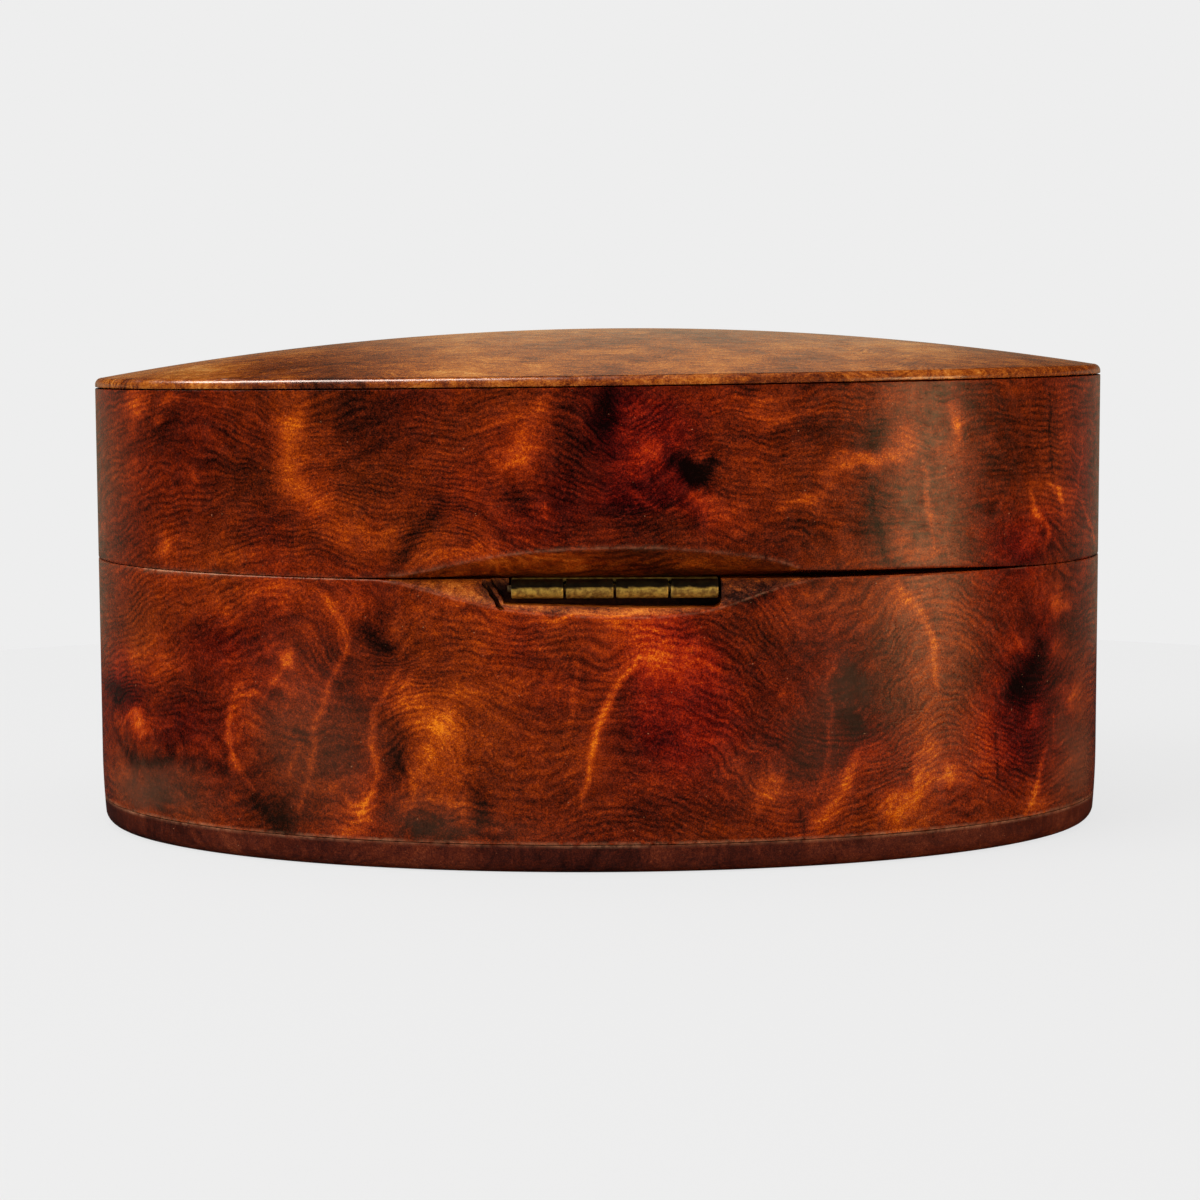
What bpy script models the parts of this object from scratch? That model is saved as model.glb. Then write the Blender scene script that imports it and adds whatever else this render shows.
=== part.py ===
import math

import bmesh
import bpy
from mathutils import Matrix, Vector

# Oval burl-wood trinket box: two solid ring walls, a flat bottom plate, a domed
# top plate and a small brass butt hinge let into the back of the base.
# Metres, +Z up, +X along the box, the hinge at +Y, the front at -Y.

for old in list(bpy.data.objects):
    bpy.data.objects.remove(old, do_unlink=True)

# Box
box_length = 0.120
box_depth = 0.080
wall_thickness = 0.009
base_height = 0.0318             # underside to the base rim
lid_wall_height = 0.0205         # base rim to the top of the lid wall, at the middle
lid_wedge = 0.0012               # the lid wall is this much taller at -X than at +X
fit_gap = 0.0003                 # between pieces that touch
cut_overrun = 0.002
merge_distance = 0.000001

# Bottom plate and the foot of the base wall
floor_thickness = 0.0032
foot_inset = 0.0004
foot_height = 0.0085
foot_round = 0.0016

# Top plate
top_edge_height = 0.0011
top_edge_round = 0.0008
dome_rise = 0.0050

# Hinge
hinge_shift = -0.0016            # from the middle of the box, along X
barrel_radius = 0.00105
barrel_inset = 0.0031            # back surface to the pin
base_knuckle_length = 0.0056
lid_knuckle_length = 0.0051
knuckle_gap = 0.0003
pin_radius = 0.0004
pin_clearance = 0.00025
pin_stub = 0.00045
leaf_thickness = 0.0004
leaf_width = 0.0046              # pin to the leaf's inner edge
leaf_gap = 0.0003
barrel_clearance = 0.0003
knuckle_pairs = 2

# Screws, two in each leaf
screw_head_radius = 0.00085
screw_head_depth = 0.0003
screw_radius = 0.00045
screw_length = 0.0050
screw_point = 0.0009
screw_clearance = 0.00025
screw_spacing = 0.0130

# Cuts round the hinge
lid_scoop_rise = 0.0030
base_scoop_drop = 0.0040
mortise_below = 0.0008
mortise_end_tight = 0.0003
mortise_end_loose = 0.0013
mortise_corner = 0.0007

# Counts of facets and points
oval_steps = 96
barrel_steps = 32
screw_steps = 16
dome_points = 8
round_points = 4
corner_points = 5

# Outline points of the tapered foot, each a share of its height and of its inset
foot_shares = ((1.0, 0.0), (0.55, 0.22), (0.2, 0.72), (0.0, 1.0))
round_limit_share = 0.8          # of the top plate's edge that its rounding may take

# What follows from the sizes above
half_length = box_length / 2
half_depth = box_depth / 2
depth_ratio = box_depth / box_length
lid_bottom = base_height + fit_gap
lid_top_middle = base_height + lid_wall_height
wedge_angle = math.atan2(lid_wedge, box_length)
wall_low = floor_thickness + fit_gap
axis_y = half_depth - barrel_inset
axis_z = base_height - barrel_radius
knuckle_count = 2 * knuckle_pairs
knuckle_pair_length = base_knuckle_length + lid_knuckle_length
hinge_length = knuckle_pairs * knuckle_pair_length + (knuckle_count - 1) * knuckle_gap
hinge_low_x = hinge_shift - hinge_length / 2
hinge_high_x = hinge_shift + hinge_length / 2
bore_radius = pin_radius + pin_clearance
leaf_outer_y = axis_y - barrel_radius - barrel_clearance
leaf_inner_y = axis_y - leaf_width
lid_leaf_top = axis_z + barrel_radius
lid_leaf_bottom = lid_leaf_top - leaf_thickness
base_leaf_top = lid_leaf_bottom - leaf_gap
base_leaf_bottom = base_leaf_top - leaf_thickness
tongue_y = axis_y - pin_radius
screw_y = (leaf_outer_y + leaf_inner_y) / 2
edge_round = min(top_edge_round, top_edge_height * round_limit_share)

parts = bpy.data.collections.new("burl_trinket_box")
cutters = bpy.data.collections.new("cutters")
bpy.context.scene.collection.children.link(parts)
bpy.context.scene.collection.children.link(cutters)


def make_material(name, color, roughness, metallic=0.0):
    material = bpy.data.materials.new(name)
    material.use_nodes = True
    shader = material.node_tree.nodes["Principled BSDF"]
    shader.inputs["Base Color"].default_value = (*color, 1.0)
    shader.inputs["Roughness"].default_value = roughness
    shader.inputs["Metallic"].default_value = metallic
    material.diffuse_color = (*color, 1.0)
    return material


def add_object(name, mesh, material=None):
    thing = bpy.data.objects.new(name, mesh)
    if material is None:
        cutters.objects.link(thing)
        thing.hide_render = True
        thing.display_type = "WIRE"
    else:
        parts.objects.link(thing)
        mesh.materials.append(material)
    return thing


def smooth(thing, angle=math.radians(35)):
    thing.data.shade_smooth()
    thing.data.set_sharp_from_angle(angle=angle)


# A closed solid turned round Z from a profile that runs from the top of the axis,
# down the outer side, to the bottom of the axis; ratio squeezes it along Y.
def turned(name, profile, steps, material=None, ratio=1.0):
    outline = bpy.data.meshes.new(name + "_profile")
    steps_down = [(i, i + 1) for i in range(len(profile) - 1)]
    outline.from_pydata([(radius, 0, z) for radius, z in profile], steps_down, [])
    source = bpy.data.objects.new(name + "_profile", outline)
    bpy.context.scene.collection.objects.link(source)
    screw = source.modifiers.new("turn", "SCREW")
    screw.axis = "Z"
    screw.steps = steps
    screw.render_steps = steps
    screw.use_merge_vertices = True
    screw.merge_threshold = merge_distance
    evaluated = source.evaluated_get(bpy.context.evaluated_depsgraph_get())
    mesh = bpy.data.meshes.new_from_object(evaluated)
    mesh.name = name
    mesh.transform(Matrix.Diagonal((1, ratio, 1, 1)))
    bpy.data.objects.remove(source, do_unlink=True)
    return add_object(name, mesh, material)


# A straight oval block between two heights
def oval_block(name, length, depth, low, high, material=None):
    work = bmesh.new()
    squeeze = Matrix.Translation((0, 0, (low + high) / 2)) @ Matrix.Diagonal((1, depth / length, 1, 1))
    bmesh.ops.create_cone(work, cap_ends=True, segments=oval_steps, radius1=length / 2, radius2=length / 2,
                          depth=high - low, matrix=squeeze)
    mesh = bpy.data.meshes.new(name)
    work.to_mesh(mesh)
    work.free()
    return add_object(name, mesh, material)


def block(name, low, high, material=None):
    low, high = Vector(low), Vector(high)
    work = bmesh.new()
    size = high - low
    place = Matrix.Translation((low + high) / 2) @ Matrix.Diagonal((size.x, size.y, size.z, 1))
    bmesh.ops.create_cube(work, size=1, matrix=place)
    mesh = bpy.data.meshes.new(name)
    work.to_mesh(mesh)
    work.free()
    return add_object(name, mesh, material)


# A round bar along X through the pin's line
def bar(name, low_x, high_x, radius, material=None):
    work = bmesh.new()
    lie = Matrix.Translation(((low_x + high_x) / 2, axis_y, axis_z)) @ Matrix.Rotation(math.pi / 2, 4, "Y")
    bmesh.ops.create_cone(work, cap_ends=True, segments=barrel_steps, radius1=radius, radius2=radius,
                          depth=high_x - low_x, matrix=lie)
    mesh = bpy.data.meshes.new(name)
    work.to_mesh(mesh)
    work.free()
    return add_object(name, mesh, material)


def boolean(thing, tool, operation="DIFFERENCE"):
    modifier = thing.modifiers.new(tool.name, "BOOLEAN")
    modifier.operation = operation
    modifier.solver = "EXACT"
    modifier.object = tool


burl = make_material("burl_wood", (0.17, 0.045, 0.010), 0.32)
burl_base = make_material("burl_wood_base", (0.15, 0.040, 0.010), 0.34)
plate_wood = make_material("bottom_plate_wood", (0.07, 0.016, 0.006), 0.42)
top_wood = make_material("top_plate_wood", (0.16, 0.055, 0.018), 0.30)
brass = make_material("aged_brass", (0.45, 0.33, 0.14), 0.38, 1.0)
brass_lid = make_material("aged_brass_lid_leaf", (0.47, 0.34, 0.15), 0.38, 1.0)
steel = make_material("hinge_pin_steel", (0.38, 0.34, 0.26), 0.42, 1.0)
screw_brass = make_material("screw_brass", (0.50, 0.37, 0.17), 0.35, 1.0)


# Outer half length at a height within the tapered foot
def foot_profile():
    return [(half_length - foot_inset * inset, foot_height * height) for height, inset in foot_shares]


def foot_radius(z):
    outline = foot_profile()
    for (outer_r, outer_z), (inner_r, inner_z) in zip(outline, outline[1:]):
        if inner_z <= z <= outer_z:
            return inner_r + (outer_r - inner_r) * (z - inner_z) / (outer_z - inner_z)
    return half_length


# Base wall
base_outline = [(0, base_height), (half_length, base_height)]
base_outline += [(radius, z) for radius, z in foot_profile() if z > wall_low]
base_outline += [(foot_radius(wall_low), wall_low), (0, wall_low)]
base_wall = turned("base_wall", base_outline, oval_steps, burl_base, depth_ratio)

inner_length = box_length - 2 * wall_thickness
inner_depth = box_depth - 2 * wall_thickness
base_hollow = oval_block("base_hollow", inner_length, inner_depth,
                         wall_low - cut_overrun, base_height + cut_overrun)
boolean(base_wall, base_hollow)

scoop_reach = math.hypot(barrel_inset, base_scoop_drop) + cut_overrun
base_scoop = block("base_scoop", (-half_length, -cut_overrun, 0),
                   (half_length, scoop_reach, barrel_inset + cut_overrun))
base_scoop.location = (0, axis_y, base_height)
base_scoop.rotation_euler = (-math.atan2(base_scoop_drop, barrel_inset), 0, 0)
boolean(base_wall, base_scoop)

mortise_floor = axis_z - barrel_radius - mortise_below
mortise = block("mortise", (hinge_low_x - mortise_end_tight, leaf_outer_y, mortise_floor),
                (hinge_high_x + mortise_end_loose, half_depth + cut_overrun, base_height + cut_overrun))
corner_edges = mortise.data.attributes.new("bevel_weight_edge", "FLOAT", "EDGE")
for edge in mortise.data.edges:
    ends = [mortise.data.vertices[i].co for i in edge.vertices]
    if all(abs(end.z - mortise_floor) < fit_gap for end in ends) and abs(ends[0].x - ends[1].x) < fit_gap:
        corner_edges.data[edge.index].value = 1.0
rounding = mortise.modifiers.new("corners", "BEVEL")
rounding.limit_method = "WEIGHT"
rounding.width = mortise_corner
rounding.segments = corner_points
boolean(base_wall, mortise)

leaf_seat = block("leaf_seat", (hinge_low_x - fit_gap, leaf_inner_y - fit_gap, base_leaf_bottom - fit_gap),
                  (hinge_high_x + fit_gap, leaf_outer_y + cut_overrun, base_height + cut_overrun))
boolean(base_wall, leaf_seat)

# Bottom plate
arc = [math.pi / 2 * i / round_points for i in range(round_points + 1)]
plate_outline = [(0, floor_thickness), (foot_radius(floor_thickness), floor_thickness)]
plate_outline += [(radius, z) for radius, z in foot_profile() if foot_round < z < floor_thickness]
round_centre = foot_radius(foot_round) - foot_round
plate_outline += [(round_centre + foot_round * math.cos(a), foot_round * (1 - math.sin(a))) for a in arc]
plate_outline += [(0, 0)]
bottom_plate = turned("bottom_plate", plate_outline, oval_steps, plate_wood, depth_ratio)

# The lid turns about the pin, so its pieces and their cutters hang on one empty
lid_axis = bpy.data.objects.new("lid_axis", None)
lid_axis.empty_display_type = "ARROWS"
lid_axis.empty_display_size = box_depth / 4
lid_axis.location = (hinge_shift, axis_y, axis_z)
parts.objects.link(lid_axis)


def hang_on_lid(*things):
    for thing in things:
        thing.parent = lid_axis
        thing.location = thing.location - lid_axis.location


# Lid wall, cut on the slant at its top
lid_high = lid_top_middle + lid_wedge
lid_wall = oval_block("lid_wall", box_length, box_depth, lid_bottom, lid_high, burl)
slant = block("lid_slant", (-box_length, -box_depth, 0), (box_length, box_depth, 2 * lid_wedge + cut_overrun))
slant.location = (0, 0, lid_top_middle)
slant.rotation_euler = (0, wedge_angle, 0)
lid_hollow = oval_block("lid_hollow", inner_length, inner_depth,
                        lid_bottom - cut_overrun, lid_high + cut_overrun)
lid_scoop_reach = math.hypot(barrel_inset, lid_scoop_rise) + cut_overrun
lid_scoop = block("lid_scoop", (-half_length, -cut_overrun, -barrel_inset - cut_overrun),
                  (half_length, lid_scoop_reach, 0))
lid_scoop.location = (0, axis_y, lid_bottom)
lid_scoop.rotation_euler = (math.atan2(lid_scoop_rise, barrel_inset), 0, 0)
for tool in (slant, lid_hollow, lid_scoop):
    boolean(lid_wall, tool)

# Domed top plate, lying on the slant
crown_radius = half_length - edge_round
crown_shares = [i / dome_points for i in range(dome_points + 1)]
dome_outline = [(crown_radius * share, top_edge_height + dome_rise * (1 - share ** 2))
                for share in crown_shares]
edge_arc = [math.pi / 2 * (1 - i / round_points) for i in range(1, round_points + 1)]
dome_outline += [(crown_radius + edge_round * math.cos(a), top_edge_height - edge_round * (1 - math.sin(a)))
                 for a in edge_arc]
dome_outline += [(half_length, 0), (0, 0)]
lid_top = turned("lid_top", dome_outline, oval_steps, top_wood, depth_ratio)
lid_top.location = (0, 0, lid_top_middle + fit_gap)
lid_top.rotation_euler = (0, wedge_angle, 0)


# A hinge leaf: a plate, with a tongue and a knuckle for each of its own places on the pin
def hinge_leaf(name, low_z, high_z, spans, material):
    leaf = block(name, (hinge_low_x, leaf_inner_y, low_z), (hinge_high_x, leaf_outer_y, high_z), material)
    for number, (low_x, high_x) in enumerate(spans):
        tongue = block(f"{name}_tongue_{number}", (low_x, leaf_outer_y - leaf_thickness, low_z),
                       (high_x, tongue_y, high_z))
        boolean(leaf, tongue, "UNION")
        knuckle = bar(f"{name}_knuckle_{number}", low_x, high_x, barrel_radius)
        boolean(leaf, knuckle, "UNION")
    bore = bar(name + "_bore", hinge_low_x - cut_overrun, hinge_high_x + cut_overrun, bore_radius)
    boolean(leaf, bore)
    return leaf


base_spans, lid_spans = [], []
end_x = hinge_high_x
for i in range(knuckle_count):
    length = lid_knuckle_length if i % 2 else base_knuckle_length
    (lid_spans if i % 2 else base_spans).append((end_x - length, end_x))
    end_x -= length + knuckle_gap

base_leaf = hinge_leaf("hinge_base_leaf", base_leaf_bottom, base_leaf_top, base_spans, brass)
lid_leaf = hinge_leaf("hinge_lid_leaf", lid_leaf_bottom, lid_leaf_top, lid_spans, brass_lid)
hinge_pin = bar("hinge_pin", hinge_low_x, hinge_high_x + pin_stub, pin_radius, steel)


# Countersunk screws point down -Z from the face of the head; a hole is a clearance wider
# all round, and its cone runs on past the face of the leaf
screw_outline = [(0, 0), (screw_head_radius, 0), (screw_radius, -screw_head_depth),
                 (screw_radius, screw_point - screw_length), (0, -screw_length)]
head_slope = (screw_head_radius - screw_radius) / screw_head_depth
hole_mouth = screw_head_radius + screw_clearance + head_slope * leaf_gap
hole_radius = screw_radius + screw_clearance
hole_depth = screw_length + screw_clearance
hole_outline = [(0, leaf_gap), (hole_mouth, leaf_gap), (hole_radius, -screw_head_depth),
                (hole_radius, -hole_depth), (0, -hole_depth)]

lid_screws = []
for number, side in enumerate((1, -1)):
    place_x = hinge_shift + side * screw_spacing / 2
    for owner, leaf, wall, face_z, turn in (("base", base_leaf, base_wall, base_leaf_top, 0),
                                            ("lid", lid_leaf, lid_wall, lid_leaf_bottom, math.pi)):
        screw = turned(f"{owner}_screw_{number + 1}", screw_outline, screw_steps, screw_brass)
        hole = turned(f"{owner}_screw_hole_{number + 1}", hole_outline, screw_steps)
        for thing in (screw, hole):
            thing.location = (place_x, screw_y, face_z)
            thing.rotation_euler = (turn, 0, 0)
        boolean(leaf, hole)
        boolean(wall, hole)
        smooth(screw)
        if owner == "lid":
            lid_screws += [screw, hole]

lid_cutters = [thing for thing in cutters.objects if thing.name.startswith("hinge_lid_leaf")]
hang_on_lid(lid_wall, lid_top, lid_leaf, slant, lid_hollow, lid_scoop, *lid_cutters, *lid_screws)

for thing in (base_wall, lid_wall, bottom_plate, lid_top, base_leaf, lid_leaf, hinge_pin):
    smooth(thing)
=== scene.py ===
import math

import bmesh
import bpy
import numpy as np
from mathutils import Matrix, Vector


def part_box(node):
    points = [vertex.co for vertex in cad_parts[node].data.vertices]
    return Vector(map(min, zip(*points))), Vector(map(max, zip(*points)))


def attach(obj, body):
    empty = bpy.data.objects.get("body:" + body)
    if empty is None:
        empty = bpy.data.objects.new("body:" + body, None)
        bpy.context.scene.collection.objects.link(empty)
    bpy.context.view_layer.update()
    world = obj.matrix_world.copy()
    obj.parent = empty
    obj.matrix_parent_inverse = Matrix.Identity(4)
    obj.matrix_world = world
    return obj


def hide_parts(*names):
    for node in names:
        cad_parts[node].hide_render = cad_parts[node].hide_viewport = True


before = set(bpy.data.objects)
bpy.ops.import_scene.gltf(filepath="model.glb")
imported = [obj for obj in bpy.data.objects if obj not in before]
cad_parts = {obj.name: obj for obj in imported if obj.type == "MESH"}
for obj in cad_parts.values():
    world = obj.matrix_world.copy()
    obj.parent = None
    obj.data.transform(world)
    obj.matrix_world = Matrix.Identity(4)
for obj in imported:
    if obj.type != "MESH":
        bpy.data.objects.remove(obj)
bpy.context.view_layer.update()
print("frame loaded")

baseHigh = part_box("base_wall")[1]
pinLow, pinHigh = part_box("hinge_pin")
halfLength = baseHigh.x
halfDepth = baseHigh.y
rimZ = baseHigh.z                       # the base rim
axisY = (pinLow.y + pinHigh.y) / 2
axisZ = (pinLow.z + pinHigh.z) / 2

# The photograph's camera, fitted in millimetres
camera = {
    "place": (0.00115, 0.3374, 0.05837),
    "turn": 0.221,                      # degrees
    "pitch": 5.486,
    "roll": -0.233,
    "focal": 2798.8,                    # in pixels of the 1200 pixel frame
    "frame": 1200,
}


def cameraAxes():
    forward, right, up = Vector((0, -1, 0)), Vector((-1, 0, 0)), Vector((0, 0, 1))
    c, s = math.cos(math.radians(camera["turn"])), math.sin(math.radians(camera["turn"]))
    forward, right = c * forward + s * right, c * right - s * forward
    c, s = math.cos(math.radians(camera["pitch"])), math.sin(math.radians(camera["pitch"]))
    forward, up = c * forward - s * up, c * up + s * forward
    c, s = math.cos(math.radians(camera["roll"])), math.sin(math.radians(camera["roll"]))
    right, up = c * right + s * up, c * up - s * right
    return forward, right, up


forward, right, up = cameraAxes()
lens = bpy.data.cameras.new("photoCamera")
lens.sensor_width = 36
lens.lens = camera["focal"] / camera["frame"] * lens.sensor_width
lens.clip_start = 0.01
lens.clip_end = 20
photoCamera = bpy.data.objects.new("photoCamera", lens)
axes = Matrix((right, up, -forward)).transposed().to_4x4()
photoCamera.matrix_world = Matrix.Translation(camera["place"]) @ axes
bpy.context.scene.collection.objects.link(photoCamera)
bpy.context.scene.camera = photoCamera
bpy.context.scene.view_settings.view_transform = "Standard"


# Node helpers: a value or another node's socket goes into any input
def put(tree, socket, value):
    if isinstance(value, bpy.types.NodeSocket):
        tree.links.new(value, socket)
    else:
        socket.default_value = value


def addNode(tree, kind, inputs=None, **settings):
    node = tree.nodes.new(kind)
    for name, value in settings.items():
        setattr(node, name, value)
    for key, value in (inputs or {}).items():
        put(tree, node.inputs[key], value)
    return node


def calc(tree, operation, a, b=0.0, c=0.0, clamp=False):
    node = addNode(tree, "ShaderNodeMath", {0: a, 1: b, 2: c}, operation=operation, use_clamp=clamp)
    return node.outputs[0]


def mixColor(tree, factor, a, b, blend="MIX"):
    node = addNode(tree, "ShaderNodeMix", {0: factor, 6: a, 7: b}, data_type="RGBA", blend_type=blend)
    return node.outputs[2]


def span(tree, value, low, high, outLow=0.0, outHigh=1.0):
    return addNode(tree, "ShaderNodeMapRange", {0: value, 1: low, 2: high, 3: outLow, 4: outHigh}).outputs[0]


def noise(tree, vector, scale, detail=3.0, rough=0.55, distortion=0.0):
    return addNode(tree, "ShaderNodeTexNoise", {"Vector": vector, "Scale": scale, "Detail": detail,
                                                "Roughness": rough, "Distortion": distortion}).outputs[0]


def field(tree, name):
    return addNode(tree, "ShaderNodeAttribute", attribute_name=name).outputs["Fac"]


def ramp(tree, value, stops):
    node = addNode(tree, "ShaderNodeValToRGB", {0: value})
    marks = node.color_ramp.elements
    while len(marks) < len(stops):
        marks.new(0.5)
    for mark, (place, color) in zip(marks, stops):
        mark.position = place
        mark.color = (*color, 1)
    return node.outputs[0]


# An sRGB colour, 0 to 255, as Blender's linear values
def srgb(r, g, b):
    return tuple(c / 255 / 12.92 if c <= 10.31 else ((c / 255 + 0.055) / 1.055) ** 2.4 for c in (r, g, b))


def newMaterial(name):
    material = bpy.data.materials.new(name)
    material.use_nodes = True
    tree = material.node_tree
    return material, tree, tree.nodes["Principled BSDF"]


# Where a pixel of the photograph lies on the oval wall
arcTurns = np.linspace(-math.pi, math.pi, 2881)          # from the middle of the back, + towards -X
arcStep = np.hypot(halfLength * np.cos(arcTurns), halfDepth * np.sin(arcTurns))
arcLength = np.concatenate([[0], np.cumsum((arcStep[1:] + arcStep[:-1]) / 2 * np.diff(arcTurns))])
arcLength = (arcLength - np.interp(0, arcTurns, arcLength)) * 1000


def onWall(px, py):
    # (millimetres round the wall, millimetres up) under a pixel
    for shrink in np.linspace(0, 0.2, 41):
        x = px + (600 - px) * shrink
        ray = forward + right * ((x - 600) / camera["focal"]) - up * ((py - 600) / camera["focal"])
        start = Vector(camera["place"])
        a = (ray.x / halfLength) ** 2 + (ray.y / halfDepth) ** 2
        b = 2 * (start.x * ray.x / halfLength ** 2 + start.y * ray.y / halfDepth ** 2)
        c = (start.x / halfLength) ** 2 + (start.y / halfDepth) ** 2 - 1
        inside = b * b - 4 * a * c
        if inside > 0:
            hit = start + ray * ((-b - math.sqrt(inside)) / (2 * a))
            turn = math.atan2(-hit.x / halfLength, hit.y / halfDepth)
            return float(np.interp(turn, arcTurns, arcLength)), hit.z * 1000
    return 0.0, 0.0


def spotOnWall(px, py, wide, high):
    s, z = onWall(px, py)
    beside = onWall(px + (4 if px < 600 else -4), py)[0]
    return s, z, wide * max(abs(beside - s) / 4, 0.1), high * 0.108


# Smooth noise for the figure, the same on every run
def hashGrid(ix, iy, iz, seed):
    h = (ix * 374761393 + iy * 668265263 + iz * 2147483647 + seed * 1274126177) & 0xFFFFFFFF
    h = ((h ^ (h >> 13)) * 1103515245) & 0xFFFFFFFF
    h = ((h ^ (h >> 16)) * 668265263) & 0xFFFFFFFF
    return ((h ^ (h >> 15)) & 0xFFFFFF) / float(0xFFFFFF) * 2 - 1


def wave(points, size, seed, octaves=3, fade=0.5):
    # fractal value noise, about -1 to 1; size in the points' own unit
    total, weight, amount = np.zeros(len(points)), 0.0, 1.0
    p = points / size
    for octave in range(octaves):
        cell = np.floor(p).astype(np.int64)
        f = p - cell
        f = f * f * f * (f * (f * 6 - 15) + 10)
        value = 0
        for dx in (0, 1):
            for dy in (0, 1):
                for dz in (0, 1):
                    share = (f[:, 0] if dx else 1 - f[:, 0]) * (f[:, 1] if dy else 1 - f[:, 1]) \
                        * (f[:, 2] if dz else 1 - f[:, 2])
                    corner = hashGrid(cell[:, 0] + dx, cell[:, 1] + dy, cell[:, 2] + dz, seed + octave)
                    value = value + share * corner
        total += value * amount
        weight += amount * 0.6
        amount *= fade
        p = p * 2.03 + 17.3
    return total / weight


# The burl figure
# Spots: pixel x, y, half width, half height, how much lighter (+) or darker (-)
lidSpots = [
    (136, 403, 9, 13, .30), (169, 405, 10, 11, .26), (165, 432, 24, 26, -.12), (155, 422, 6, 4, .22),
    (166, 549, 9, 18, .16), (268, 558, 45, 14, .10), (232, 553, 16, 12, .14), (234, 470, 42, 26, -.09),
    (298, 430, 24, 36, .12), (298, 478, 18, 16, .12), (312, 505, 14, 12, .10), (285, 425, 14, 12, .16),
    (362, 538, 40, 10, .14), (368, 416, 36, 26, -.14), (360, 488, 40, 32, -.02), (522, 448, 26, 16, .30),
    (508, 462, 14, 10, .14), (515, 412, 24, 16, .16), (541, 408, 9, 14, .14), (449, 545, 36, 18, .08),
    (470, 510, 30, 14, .12), (518, 494, 16, 12, -.20), (566, 460, 18, 40, -.12), (606, 425, 24, 30, -.28),
    (607, 406, 12, 8, -.16), (613, 426, 10, 6, -.20), (653, 428, 38, 30, -.01), (640, 462, 14, 18, .12),
    (662, 484, 28, 18, -.05), (640, 518, 60, 22, -.17), (690, 466, 18, 13, -.36), (704, 468, 14, 12, -.30),
    (703, 457, 5, 6, .42), (660, 454, 14, 12, .20), (722, 511, 20, 15, .26), (700, 500, 12, 12, .14),
    (752, 500, 20, 20, .14), (804, 498, 20, 10, .17), (770, 533, 50, 16, -.02), (758, 418, 26, 14, .24),
    (863, 462, 36, 12, .34), (908, 442, 8, 16, .26), (820, 440, 40, 20, -.09), (883, 436, 10, 20, -.22),
    (872, 525, 14, 40, -.05), (914, 545, 22, 12, .24), (953, 422, 9, 26, .20), (950, 520, 30, 40, .06),
    (1010, 440, 26, 50, -.15), (1020, 395, 24, 12, .04), (988, 511, 6, 5, -.25), (1016, 545, 20, 22, -.06),
    (1038, 515, 12, 26, .08), (1042, 547, 10, 12, -.10), (1066, 430, 12, 50, .08), (1090, 470, 7, 80, .02),
    (880, 400, 40, 12, .10), (700, 400, 50, 12, -.02), (450, 400, 50, 18, .00), (420, 455, 40, 26, .04),
    (1062, 500, 10, 30, .10), (200, 520, 30, 10, -.06), (345, 400, 14, 9, -.10), (590, 500, 26, 22, -.03),
    (850, 550, 40, 10, -.06), (450, 564, 40, 7, .14), (540, 560, 60, 8, .20), (645, 561, 44, 9, -.16),
    (690, 556, 22, 5, .10), (770, 566, 50, 6, -.04), (830, 410, 20, 8, .06), (120, 480, 16, 60, .02),
]
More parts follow.
